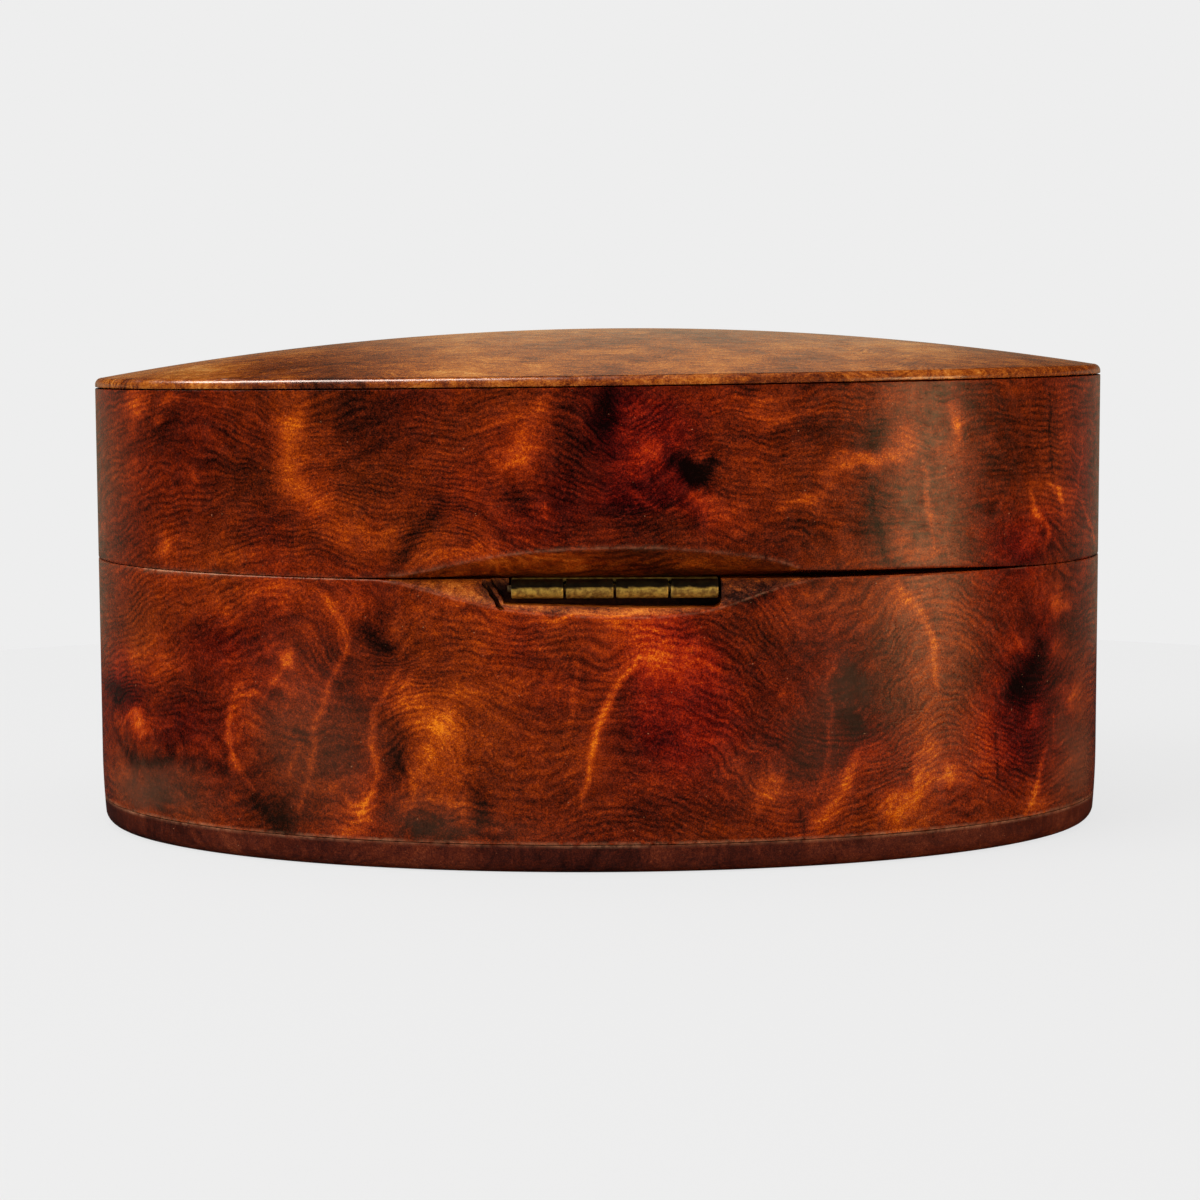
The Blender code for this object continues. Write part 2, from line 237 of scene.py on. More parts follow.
baseSpots = [
    (222, 610, 16, 14, .16), (268, 594, 22, 14, .25), (147, 652, 24, 20, .16), (288, 656, 7, 8, .30),
    (140, 722, 15, 13, .34), (140, 688, 36, 26, -.14), (172, 735, 36, 15, -.17), (118, 700, 14, 16, -.24),
    (168, 765, 40, 9, -.20), (196, 690, 20, 30, -.12), (205, 640, 24, 22, -.08), (245, 700, 20, 18, .12),
    (240, 760, 14, 26, .12), (325, 640, 22, 18, .04), (345, 610, 18, 16, .10), (381, 642, 15, 17, -.28),
    (383, 620, 13, 20, -.12), (355, 700, 22, 40, -.12), (300, 700, 20, 60, .00), (275, 808, 26, 13, -.26),
    (255, 780, 16, 20, -.10), (350, 815, 20, 16, .24), (362, 790, 10, 20, .06), (325, 745, 14, 30, -.10),
    (402, 705, 16, 12, .26), (459, 686, 22, 9, .22), (435, 722, 20, 20, .44), (440, 770, 22, 30, .12),
    (465, 815, 12, 20, .18), (430, 824, 30, 15, -.40), (485, 815, 13, 20, -.26), (392, 760, 10, 38, -.16),
    (505, 690, 30, 24, .10), (540, 665, 40, 26, -.05), (520, 622, 50, 12, .08), (480, 640, 40, 20, .08),
    (655, 648, 34, 24, .19), (668, 668, 14, 12, .16), (640, 632, 30, 14, .12), (600, 680, 14, 14, .08),
    (655, 718, 50, 30, -.08), (690, 672, 30, 24, .10), (715, 705, 26, 30, .04), (720, 650, 20, 20, -.04),
    (560, 720, 20, 50, .02), (520, 760, 50, 26, .02), (640, 780, 40, 24, -.02), (740, 720, 30, 40, -.04),
    (762, 765, 30, 26, .07), (700, 812, 60, 22, -.16), (790, 650, 40, 20, -.08), (835, 620, 40, 34, .08),
    (812, 735, 20, 46, -.20), (845, 690, 16, 24, -.22), (870, 690, 26, 44, -.15), (845, 730, 14, 14, -.20),
    (856, 717, 5, 7, .26), (777, 794, 14, 18, .26), (845, 770, 10, 20, .18), (866, 645, 26, 16, -.04),
    (905, 700, 18, 30, .00), (922, 755, 16, 30, .25), (899, 816, 18, 22, .26), (915, 790, 12, 14, .18),
    (950, 775, 12, 16, .16), (900, 600, 20, 14, .10), (930, 690, 12, 40, .08), (980, 740, 18, 40, .17),
    (992, 785, 24, 26, -.06), (1032, 690, 34, 66, -.18), (1036, 670, 11, 24, -.26),
    (1019, 687, 8, 16, -.24), (1060, 606, 12, 12, .28), (1060, 651, 10, 12, .26), (1019, 645, 10, 8, .24),
    (1075, 687, 8, 12, .24), (1038, 719, 8, 10, .20), (1036, 795, 12, 22, .22), (1020, 600, 26, 16, -.02),
    (965, 620, 20, 30, .04), (640, 613, 80, 5, .26), (550, 611, 40, 5, .14), (756, 590, 44, 11, -.24),
    (150, 796, 34, 18, -.18), (200, 800, 30, 22, -.04), (120, 620, 18, 40, -.05), (350, 672, 46, 26, -.08),
    (345, 730, 26, 50, -.08), (260, 745, 60, 40, -.07), (215, 800, 60, 26, -.06), (760, 655, 50, 40, -.05),
    (760, 820, 40, 14, .02), (560, 820, 50, 14, .00), (1075, 755, 16, 40, -.04), (1078, 640, 14, 50, -.12),
    (1060, 690, 8, 30, -.10),
]
# Streaks: half width, how much lighter, and the pixels that they follow
lidStreaks = [
    (3.0, .16, [(190, 470), (192, 480), (197, 486)]),
    (13, .17, [(300, 412), (287, 440), (288, 464), (300, 488), (327, 511)]),
    (4, -.14, [(228, 533), (262, 526), (298, 513)]),
    (8, -.20, [(392, 573), (415, 530), (445, 503), (480, 508), (507, 533)]),
    (2.2, .20, [(627, 488), (655, 506), (690, 517)]), (2.5, .22, [(544, 501), (545, 511), (542, 519)]),
    (2.5, .26, [(923, 458), (929, 500), (933, 553)]), (5, .14, [(538, 415), (540, 405), (548, 398)]),
    (2.4, .14, [(709, 549), (770, 520), (828, 486), (897, 462)]),
    (3, .16, [(749, 434), (790, 420), (828, 410)]), (4, .24, [(949, 402), (957, 420), (961, 442)]),
    (3.6, .30, [(1030, 488), (1035, 511), (1049, 531), (1046, 550)]),
    (3.0, .26, [(1046, 480), (1060, 491), (1064, 519)]),
    (3.0, .24, [(1082, 500), (1091, 527), (1096, 547)]),
    (2.2, .20, [(1083, 433), (1080, 470), (1075, 503)]),
    (5, -.24, [(680, 462), (686, 476), (697, 484), (710, 476), (716, 460)]),
    (5, -.06, [(560, 395), (574, 440), (566, 500)]), (4, -.12, [(330, 470), (370, 450), (410, 430)]),
    (4, .12, [(840, 465), (870, 462), (900, 452)]), (4, -.16, [(868, 484), (876, 520), (884, 560)]),
    (1.4, -.20, [(1050, 383), (1051, 430), (1052, 480)]), (9, .06, [(1064, 386), (1066, 430), (1062, 478)]),
]
baseStreaks = [
    (2.6, .24, [(286, 664), (276, 680), (268, 693)]),
    (5, -.18, [(116, 690), (112, 720), (125, 752), (150, 768), (176, 758)]),
    (3.4, .26, [(262, 695), (236, 693), (228, 723), (232, 759), (243, 778), (254, 792)]),
    (3.6, .26, [(325, 595), (340, 620), (349, 640), (338, 668), (327, 693), (313, 733), (309, 778),
            (300, 812)]), (2.4, .14, [(294, 723), (296, 749), (290, 782)]),
    (3.6, .28, [(398, 674), (377, 707), (369, 737), (375, 763), (373, 792), (353, 822)]),
    (3.0, .22, [(410, 768), (412, 790), (414, 808)]), (8, -.16, [(398, 717), (390, 760), (384, 798)]),
    (3.0, .18, [(578, 649), (575, 679), (571, 719), (570, 744)]),
    (3.6, .40, [(637, 658), (615, 689), (604, 717), (592, 758), (586, 788), (586, 806)]),
    (1.6, .24, [(858, 659), (828, 673), (826, 689), (831, 709), (829, 736), (826, 776), (814, 804)]),
    (6, .22, [(858, 760), (840, 798), (814, 827), (798, 837)]),
    (4, .26, [(897, 585), (918, 608), (935, 643), (935, 670), (938, 694)]),
    (4, .16, [(929, 730), (918, 762), (912, 786)]), (5, .20, [(950, 762), (950, 784)]),
    (3.6, .26, [(1044, 752), (1036, 794), (1027, 815)]), (1.4, -.30, [(997, 734), (998, 790)]),
    (2.2, .16, [(1055, 700), (1053, 730), (1053, 754)]), (3, -.24, [(802, 812), (803, 838)]),
    (1.2, .14, [(686, 745), (705, 741), (723, 736)]), (1.1, .14, [(763, 661), (759, 677)]),
    (1.2, .16, [(790, 679), (782, 694), (775, 707)]), (1.2, .14, [(745, 756), (741, 776)]),
    (9, -.18, [(840, 655), (862, 690), (850, 745), (842, 770)]),
]
# Hills in the growth lines: pixel x, y, half width, half height in pixels, rise in millimetres
hills = [
    (280, 610, 150, 170, 11.0), (450, 560, 52, 60, 5.5), (640, 660, 170, 130, 6.5), (620, 850, 90, 60, 3.6),
    (640, 430, 40, 60, -4.5), (700, 466, 46, 46, 4.2), (300, 430, 60, 60, -4.0), (840, 690, 70, 90, -6.5),
    (930, 640, 60, 120, 5.0), (1040, 680, 40, 80, -5.0), (1040, 500, 50, 80, 4.0), (380, 640, 50, 50, -4.5),
    (140, 720, 50, 50, 4.5), (860, 450, 90, 60, 3.4), (520, 440, 60, 60, 3.5), (430, 730, 60, 70, 5.0),
    (760, 520, 110, 60, 3.2), (165, 430, 60, 50, 3.2), (760, 800, 90, 50, -2.4), (950, 780, 60, 50, 3.4),
]

# Where the wood is redder, and where a greyish lilac veil is painted on as a reflection in the wax
redZones = [
    (655, 440, 40, 50, .7), (660, 500, 44, 24, .7), (600, 430, 40, 50, .3), (1020, 540, 30, 30, .5),
    (545, 510, 50, 30, .3), (660, 660, 60, 60, .7), (700, 700, 50, 50, .6), (1032, 690, 40, 70, 1.0),
    (150, 720, 50, 50, .6), (200, 650, 40, 30, .4), (120, 690, 20, 40, .4), (300, 440, 50, 60, -.2),
    (450, 730, 60, 90, -.4), (880, 470, 60, 80, -.4), (1010, 440, 40, 60, -.4), (360, 540, 60, 20, -.3),
    (720, 515, 40, 20, .2), (940, 700, 40, 100, -.3), (640, 760, 70, 50, .3),
]
paintedSheenZones = [
    (320, 740, 44, 70, .14), (820, 740, 30, 60, .12), (430, 820, 40, 20, .14), (845, 690, 20, 26, .13),
    (140, 790, 44, 26, .30), (1080, 690, 20, 90, .08), (915, 560, 60, 60, .02), (840, 620, 44, 40, .08),
    (880, 440, 18, 30, .02), (1080, 760, 16, 50, .32), (930, 765, 24, 30, .09), (285, 700, 24, 60, .05),
    (760, 770, 40, 30, .06), (500, 830, 60, 14, .06), (870, 690, 24, 40, .06), (110, 520, 14, 90, .07),
]


def spotsHere(s, z, spots):
    total = np.zeros(len(s))
    for px, py, wide, high, amount in spots:
        s0, z0, ws, wz = spotOnWall(px, py, wide, high)
        far = ((s - s0) / (ws * 1.15)) ** 2 + ((z - z0) / (wz * 1.15)) ** 2
        total += amount * np.exp(-far ** 1.15)
    return total


def streaksHere(s, z, streaks):
    total = np.zeros(len(s))
    for wide, amount, points in streaks:
        line = np.array([onWall(*p) for p in points])
        steps = np.concatenate([[0], np.cumsum(np.hypot(*np.diff(line, axis=0).T))])
        best, along = np.full(len(s), 1e9), np.zeros(len(s))
        for (a, b), start in zip(zip(line, line[1:]), steps):
            d = b - a
            size = max(np.hypot(*d), 1e-6)
            t = np.clip(((s - a[0]) * d[0] + (z - a[1]) * d[1]) / size ** 2, 0, 1)
            far = np.hypot(s - a[0] - t * d[0], z - a[1] - t * d[1])
            nearer = far < best
            best = np.where(nearer, far, best)
            along = np.where(nearer, (start + t * size) / steps[-1], along)
        width = max(wide * 0.108, 0.16)
        taper = 0.55 + 0.45 * np.sin(np.clip(along, 0, 1) * math.pi)
        total += amount * taper * np.exp(-(best / (width * taper * 1.25)) ** 2)
    return total


figure = {
    "seed": 11,
    "lidTone": 0.439,                    # 0 black, 0.5 red brown, 1 pale orange
    "baseTone": 0.510,
    "warp": 1.0,                        # millimetres
    "lineSpacing": 0.86,                # millimetres between growth lines
    "frontFeatures": 90,
    "strength": 1.15,                   # of the spots and streaks
}


# Features of the same kinds for the part of the wall that the photograph doesn't show
def frontFigure(s, z, seed):
    chance = np.random.default_rng(seed)
    total, lift = np.zeros(len(s)), np.zeros(len(s))
    for number in range(figure["frontFeatures"]):
        side = 1 if number % 2 else -1
        s0, z0 = side * chance.uniform(74, 158), chance.uniform(0, 54)
        wide, high = chance.uniform(1.2, 5), chance.uniform(1.4, 6)
        amount = chance.choice([-.24, -.16, -.12, .1, .16, .22, .28])
        lean = chance.uniform(-0.6, 0.6)
        rise, reach = chance.uniform(-4, 6), chance.uniform(5, 13)
        for shift in (-arcLength[-1] * 2, 0, arcLength[-1] * 2):      # round the seam at the front
            ds = s - s0 - shift - lean * (z - z0)
            total += amount * np.exp(-((ds / wide) ** 2 + ((z - z0) / high) ** 2))
            if number % 3 == 0:
                lift += rise * np.exp(-((s - s0 - shift) / reach) ** 2 - ((z - z0) / reach) ** 2)
    return total, lift


# Everything the wood materials read, worked out once for each vertex
def burlFields(points):
    p = points * 1000
    turn = np.arctan2(-points[:, 0] / halfLength, points[:, 1] / halfDepth)
    s = np.interp(turn, arcTurns, arcLength)
    z = p[:, 2]
    seed = figure["seed"]
    coarse = wave(p, 9.0, seed, 3)
    ws = s + figure["warp"] * wave(p, 7.0, seed + 20, 2) + 0.9 * wave(p, 2.4, seed + 30, 3)
    wz = z + figure["warp"] * wave(p, 7.0, seed + 40, 2) + 0.9 * wave(p, 2.4, seed + 50, 3)
    inLid = z > rimZ * 1000 + 0.02
    thinS = s + 0.35 * wave(p, 2.2, seed + 60, 2)
    thinZ = z + 0.35 * wave(p, 2.2, seed + 70, 2)
    tone = np.where(inLid, figure["lidTone"], figure["baseTone"])
    tone = tone + 0.06 * coarse + 0.045 * wave(p, 3.0, seed + 80, 3)
    lidPart = spotsHere(ws, wz, lidSpots) + streaksHere(thinS, thinZ, lidStreaks)
    basePart = spotsHere(ws, wz, baseSpots) + streaksHere(thinS, thinZ, baseStreaks)
    near = np.clip((88 - np.abs(s)) / 8, 0, 1)
    extra, lift = frontFigure(ws, wz, seed)
    veins = np.exp(-(wave(p, 13.0, seed + 120, 2) / 0.035) ** 2)
    veins *= np.clip(wave(p, 11.0, seed + 130, 2) + 0.15, 0, 1)
    extra += 0.34 * veins
    tone += figure["strength"] * (near * np.where(inLid, lidPart, basePart) + (1 - near) * extra)
    height = z + 1.0 * wave(p, 7.0, seed + 90, 2) + 0.07 * wave(p, 1.6, seed + 95, 2)
    for px, py, wide, high, rise in hills:
        s0, z0, a, b = spotOnWall(px, py, wide, high)
        height -= near * rise * np.exp(-((ws - s0) / a) ** 2 - ((wz - z0) / b) ** 2)
    height -= (1 - near) * lift
    red = 0.25 + 0.30 * wave(p, 11.0, seed + 100, 2) + near * spotsHere(ws, wz, redZones)
    # painted reflection: a faint random veil on the front, and the listed zones at the back
    paintedSheen = (1 - near) * np.clip(0.12 * wave(p, 6.0, seed + 110, 3) - 0.04, 0, 1)
    paintedSheen = paintedSheen + near * spotsHere(ws, wz, paintedSheenZones)
    return {"tone": tone, "phase": height / figure["lineSpacing"], "red": np.clip(red, 0, 1),
            "paintedSheen": np.clip(paintedSheen, 0, 1)}


def setField(mesh, name, values):
    mine = mesh.attributes.get(name) or mesh.attributes.new(name, "FLOAT", "POINT")
    mine.data.foreach_set("value", np.asarray(values, np.float32))


def getPoints(mesh):
    co = np.zeros(len(mesh.vertices) * 3)
    mesh.vertices.foreach_get("co", co)
    return co.reshape(-1, 3)


def setPoints(mesh, points):
    mesh.vertices.foreach_set("co", points.ravel())
    mesh.update()


print("figure ready")


# Materials
burlStops = [(0.0, srgb(13, 4, 1)), (0.16, srgb(40, 10, 2)), (0.32, srgb(73, 20, 1)),
             (0.47, srgb(101, 31, 1)), (0.62, srgb(131, 45, 1)), (0.78, srgb(164, 64, 1)),
             (0.9, srgb(192, 88, 2)), (1.0, srgb(220, 118, 9))]
redStops = [(0.0, srgb(12, 1, 1)), (0.16, srgb(36, 1, 1)), (0.32, srgb(64, 4, 1)),
            (0.47, srgb(95, 12, 1)), (0.62, srgb(131, 24, 1)), (0.78, srgb(165, 42, 1)),
            (0.9, srgb(190, 68, 2)), (1.0, srgb(216, 104, 8))]
burl = {
    "mottle": 0.14,                     # blotches of about 2 mm
    "fleck": 0.24,                      # of about 1 mm
    "grain": 0.62,
    "fine": 1.0,
    "fibre": 0.54,
    "bands": 0.36,
    "lines": 0.155,
    "roughness": 0.25,
    "gloss": 0.15,
    "bump": 0.015,
}


scrapeStops = [(0.15, srgb(40, 12, 4)), (0.45, srgb(104, 44, 8)), (0.7, srgb(168, 82, 14)),
               (1.0, srgb(210, 130, 46))]
# greyish lilac of the painted reflection veil
paintedSheenColor = (*srgb(126, 84, 60), 1)
poreColor = (*srgb(30, 6, 3), 1)
fleckColor = (*srgb(190, 130, 90), 1)
# near-black painted shade, for the hinge pocket and the hinge
paintedShadeColor = (*srgb(9, 4, 3), 1)
# pale colour of worn edges and of the painted highlight along them
wearAndHighlightColor = (*srgb(184, 122, 86), 1)


def burlMaterial(name, values, stops, redder=None):
    material, tree, shader = newMaterial(name)
    place = addNode(tree, "ShaderNodeTexCoord").outputs["Object"]
    tone, phase = field(tree, "tone"), field(tree, "phase")
    xyz = addNode(tree, "ShaderNodeSeparateXYZ", {0: place})

    # a space stretched along the growth lines
    def grainSpace(across, alongLines):
        return addNode(tree, "ShaderNodeCombineXYZ", {0: calc(tree, "MULTIPLY", xyz.outputs[0], alongLines),
                                                      1: calc(tree, "MULTIPLY", xyz.outputs[1], alongLines),
                                                      2: calc(tree, "MULTIPLY", phase, across)}).outputs[0]

    swell = noise(tree, place, 160.0, 2.0)
    shaken = calc(tree, "MULTIPLY_ADD", noise(tree, place, 800.0, 3.0, 0.6), 0.9, phase)
    ring = calc(tree, "SINE", calc(tree, "MULTIPLY", shaken, 2 * math.pi))
    thin = calc(tree, "POWER", span(tree, ring, -1.0, 1.0), 1.6)
    lineShare = calc(tree, "MULTIPLY", span(tree, swell, 0.38, 0.60, 0.15, 1.0), -values["lines"])
    # through the solid: scale, detail, roughness and distortion
    evenNoises = {"mottle": (420.0, 5.0, 0.62, 0.4), "fleck": (1150.0, 4.0, 0.6, 0.0),
                  "grain": (2900.0, 3.0, 0.7, 0.0), "fine": (7000.0, 2.0, 0.7, 0.0)}
    total = tone
    for label, (scale, detail, rough, distortion) in evenNoises.items():
        amount = calc(tree, "SUBTRACT", noise(tree, place, scale, detail, rough, distortion), 0.5)
        total = calc(tree, "MULTIPLY_ADD", amount, values[label], total)
    # along the growth lines: scale across and along them, detail and roughness
    lineNoises = {"bands": (0.42, 80.0, 3.0, 0.55), "fibre": (1.15, 330.0, 4.0, 0.6)}
    for label, (across, alongLines, detail, rough) in lineNoises.items():
        amount = calc(tree, "SUBTRACT", noise(tree, grainSpace(across, alongLines), 1.0, detail, rough), 0.5)
        total = calc(tree, "MULTIPLY_ADD", amount, values[label], total)
    total = calc(tree, "MULTIPLY_ADD", thin, lineShare, total)
    color = ramp(tree, total, stops)
    if redder:
        color = mixColor(tree, field(tree, "red"), color, ramp(tree, total, redder))
        # a greyish lilac painted reflection over the wood, where the field marks it
        color = mixColor(tree, field(tree, "paintedSheen"), color, paintedSheenColor)
    # short dark pores along the lines, and a few pale flecks
    pores = span(tree, noise(tree, grainSpace(3.0, 1100.0), 1.0, 2.0, 0.5), 0.64, 0.74)
    color = mixColor(tree, calc(tree, "MULTIPLY", pores, 0.45), color, poreColor)
    flecks = span(tree, noise(tree, place, 3600.0, 1.0, 0.4), 0.79, 0.83)
    color = mixColor(tree, calc(tree, "MULTIPLY", flecks, 0.55), color, fleckColor)
    # bare, scraped wood, and worn edges with a painted pale highlight along them
    cut, wearAndHighlight = field(tree, "cut"), field(tree, "wearAndHighlight")
    scuffs = span(tree, noise(tree, place, 900.0, 4.0, 0.7), 0.3, 0.7, -0.12, 0.30)
    scrape = ramp(tree, calc(tree, "ADD", total, scuffs), scrapeStops)
    color = mixColor(tree, cut, color, scrape)
    rubAndHighlight = calc(tree, "MULTIPLY", wearAndHighlight, span(tree, noise(tree, place, 1300.0, 3.0, 0.7), 0.32, 0.6), clamp=True)
    color = mixColor(tree, rubAndHighlight, color, wearAndHighlightColor)
    # painted shade, near black, where the field marks it
    color = mixColor(tree, field(tree, "paintedShade"), color, paintedShadeColor)
    put(tree, shader.inputs["Base Color"], color)
    smears = span(tree, noise(tree, place, 700.0, 3.0, 0.6), 0.3, 0.7, -0.05, 0.08)
    rough = calc(tree, "ADD", values["roughness"], smears)
    rough = calc(tree, "MULTIPLY_ADD", cut, 0.32, rough)
    put(tree, shader.inputs["Roughness"], calc(tree, "MULTIPLY_ADD", rubAndHighlight, 0.2, rough, clamp=True))
    shader.inputs["Specular IOR Level"].default_value = values["gloss"]
    # the surface: faint lines and pores, and fine scratches from handling
    scratchSpace = addNode(tree, "ShaderNodeMapping", {"Vector": place, "Rotation": (0.3, 0.5, 0.2),
                                                       "Scale": (300.0, 300.0, 4200.0)}).outputs[0]
    scratch = span(tree, noise(tree, scratchSpace, 1.0, 1.0, 0.3), 0.68, 0.8)
    relief = calc(tree, "MULTIPLY", noise(tree, place, 500.0, 4.0, 0.6), 0.9)
    relief = calc(tree, "MULTIPLY_ADD", thin, -0.25, relief)
    relief = calc(tree, "MULTIPLY_ADD", pores, -0.5, relief)
    relief = calc(tree, "MULTIPLY_ADD", scratch, -0.3, relief)
    rough2 = calc(tree, "MULTIPLY", calc(tree, "MULTIPLY", noise(tree, place, 1500.0, 5.0, 0.7), 9.0), cut)
    bump = addNode(tree, "ShaderNodeBump", {"Strength": 1.0, "Distance": values["bump"] * 0.001,
                                            "Height": calc(tree, "ADD", relief, rough2)})
    put(tree, shader.inputs["Normal"], bump.outputs[0])
    return material


burlWood = burlMaterial("waxedBurl", burl, burlStops, redStops)
topStops = [(0.0, srgb(30, 8, 3)), (0.2, srgb(66, 24, 6)), (0.4, srgb(104, 41, 6)), (0.55, srgb(140, 66, 10)),
            (0.7, srgb(166, 90, 22)), (0.85, srgb(186, 114, 42)), (1.0, srgb(206, 147, 80))]
topBurl = dict(burl, mottle=0.34, lines=0.16, fibre=0.70, roughness=0.22, gloss=0.5)
topWood = burlMaterial("waxedTopBurl", topBurl, topStops)
plateStops = [(0.0, srgb(16, 4, 4)), (0.3, srgb(44, 12, 6)), (0.5, srgb(66, 20, 8)), (0.7, srgb(90, 32, 12)),
              (1.0, srgb(130, 60, 30))]
plateBurl = dict(burl, mottle=0.22, lines=0.06, bands=0.3, roughness=0.36)
plateWood = burlMaterial("darkStainedWood", plateBurl, plateStops)


def bareMaterial():
    material, tree, shader = newMaterial("bareInsideWood")
    place = addNode(tree, "ShaderNodeTexCoord").outputs["Object"]
    stretched = addNode(tree, "ShaderNodeMapping", {"Vector": place, "Scale": (160.0, 420.0, 900.0)}).outputs[0]
    warped = noise(tree, place, 60.0, 3.0)
    bend = addNode(tree, "ShaderNodeCombineXYZ", {0: warped, 1: calc(tree, "MULTIPLY", warped, 2.0),
                                                  2: calc(tree, "MULTIPLY", warped, 5.0)}).outputs[0]
    space = addNode(tree, "ShaderNodeVectorMath", {0: stretched, 1: bend}, operation="ADD").outputs[0]
    lines = noise(tree, space, 1.0, 5.0, 0.62)
    blotch = noise(tree, place, 90.0, 4.0, 0.6)
    tone = calc(tree, "ADD", calc(tree, "MULTIPLY", lines, 0.6), calc(tree, "MULTIPLY", blotch, 0.4))
    color = ramp(tree, tone, [(0.3, srgb(64, 30, 14)), (0.45, srgb(104, 54, 24)), (0.55, srgb(136, 78, 38)),
                              (0.7, srgb(170, 110, 62))])
    # painted shade, near black, deep in the hinge pocket
    color = mixColor(tree, field(tree, "paintedShade"), color, paintedShadeColor)
    put(tree, shader.inputs["Base Color"], color)
    put(tree, shader.inputs["Roughness"], span(tree, lines, 0.3, 0.7, 0.5, 0.7))
    shader.inputs["Specular IOR Level"].default_value = 0.3
    bump = addNode(tree, "ShaderNodeBump", {"Strength": 1.0, "Distance": 0.00006, "Height": lines})
    put(tree, shader.inputs["Normal"], bump.outputs[0])
    return material


bareWood = bareMaterial()


def metalMaterial(name, bright, dull, shadeColor, rough=0.44, metallic=0.5):
    material, tree, shader = newMaterial(name)
    place = addNode(tree, "ShaderNodeTexCoord").outputs["Object"]
    stain = noise(tree, place, 1400.0, 5.0, 0.65)
    lines = addNode(tree, "ShaderNodeMapping", {"Vector": place, "Scale": (900.0, 5200.0, 5200.0)}).outputs[0]
    scratch = noise(tree, lines, 1.0, 4.0, 0.7)
    color = mixColor(tree, span(tree, stain, 0.40, 0.60), (*dull, 1), (*bright, 1))
    color = mixColor(tree, span(tree, scratch, 0.55, 0.75, 0.0, 0.5), color, (*dull, 1))
    # wear and painted highlight: pale bright brass round the knuckle ends
    color = mixColor(tree, field(tree, "wearAndHighlight"), color, (*srgb(232, 196, 110), 1))
    # painted shade: barrel tops under the lid, their pocket side, screw slots and the leaves
    color = mixColor(tree, field(tree, "paintedShade"), color, (*shadeColor, 1))
    put(tree, shader.inputs["Base Color"], color)
    put(tree, shader.inputs["Roughness"], span(tree, stain, 0.3, 0.7, rough + 0.12, rough - 0.08))
    shader.inputs["Metallic"].default_value = metallic      # the rest is dull patina
    bump = addNode(tree, "ShaderNodeBump", {"Strength": 1.0, "Distance": 0.00002,
                                            "Height": calc(tree, "MULTIPLY_ADD", stain, 0.7, scratch)})
    put(tree, shader.inputs["Normal"], bump.outputs[0])
    return material


agedBrass = metalMaterial("agedBrass", srgb(224, 184, 80), srgb(142, 106, 44), srgb(7, 4, 2))
leafBrass = metalMaterial("leafBrass", srgb(222, 180, 80), srgb(142, 106, 46), srgb(7, 4, 2))
pinSteel = metalMaterial("dullPin", srgb(122, 98, 60), srgb(74, 56, 32), srgb(20, 14, 9), 0.42)
screwBrass = metalMaterial("screwBrass", srgb(204, 164, 92), srgb(132, 98, 48), srgb(22, 14, 8), 0.34)
print("materials ready")


# The oval walls: a tree that runs a profile round an oval
# Profile points: x is how far in from the outside, y the share of the full oval, z the height
def ovalTree():
    tree = bpy.data.node_groups.new("ovalSweep", "GeometryNodeTree")
    face = tree.interface
    face.new_socket("Profile", in_out="INPUT", socket_type="NodeSocketGeometry")
    for name, kind in (("Half Length", "NodeSocketFloat"), ("Half Depth", "NodeSocketFloat"),
                       ("Columns", "NodeSocketInt"), ("Rows", "NodeSocketInt"),
                       ("Material", "NodeSocketMaterial")):
        face.new_socket(name, in_out="INPUT", socket_type=kind)
    face.new_socket("Geometry", in_out="OUTPUT", socket_type="NodeSocketGeometry")
    start = tree.nodes.new("NodeGroupInput")
    end = tree.nodes.new("NodeGroupOutput")
    length, depth, columns, rows, material = start.outputs[1:6]
    across = calc(tree, "ADD", columns, 1.0)
    sheet = addNode(tree, "GeometryNodeMeshGrid", {"Vertices X": across, "Vertices Y": rows})
    index = addNode(tree, "GeometryNodeInputIndex").outputs[0]
    column = calc(tree, "FLOOR", calc(tree, "DIVIDE", calc(tree, "ADD", index, 0.5), rows))
    row = calc(tree, "SUBTRACT", index, calc(tree, "MULTIPLY", column, rows))
    spot = addNode(tree, "GeometryNodeSampleIndex", data_type="FLOAT_VECTOR", domain="POINT")
    put(tree, spot.inputs["Geometry"], start.outputs[0])
    put(tree, spot.inputs["Value"], addNode(tree, "GeometryNodeInputPosition").outputs[0])
    put(tree, spot.inputs["Index"], row)
    parts = addNode(tree, "ShaderNodeSeparateXYZ", {0: spot.outputs[0]})
    turn = calc(tree, "SUBTRACT", calc(tree, "DIVIDE", calc(tree, "MULTIPLY", column, 2 * math.pi), columns),
                math.pi / 2)

    def reach(half):
        return calc(tree, "SUBTRACT", calc(tree, "MULTIPLY", half, parts.outputs[1]), parts.outputs[0])

    spread = addNode(tree, "ShaderNodeCombineXYZ", {
        0: calc(tree, "MULTIPLY", reach(length), calc(tree, "COSINE", turn)),
        1: calc(tree, "MULTIPLY", reach(depth), calc(tree, "SINE", turn)),
        2: parts.outputs[2]}).outputs[0]
    moved = addNode(tree, "GeometryNodeSetPosition", {"Geometry": sheet.outputs[0], "Position": spread})
    marked = addNode(tree, "GeometryNodeStoreNamedAttribute", data_type="FLOAT", domain="POINT")
    put(tree, marked.inputs["Geometry"], moved.outputs[0])
    put(tree, marked.inputs["Name"], "profileRow")
    put(tree, marked.inputs["Value"], row)
    closed = addNode(tree, "GeometryNodeMergeByDistance", {"Geometry": marked.outputs[0],
                                                           "Distance": 0.0000005})
    shaded = addNode(tree, "GeometryNodeSetShadeSmooth", {"Geometry": closed.outputs[0]})
    real = addNode(tree, "GeometryNodeRealizeInstances", {"Geometry": shaded.outputs[0]})
    dressed = addNode(tree, "GeometryNodeSetMaterial", {"Geometry": real.outputs[0], "Material": material})
    put(tree, end.inputs[0], dressed.outputs[0])
    return tree


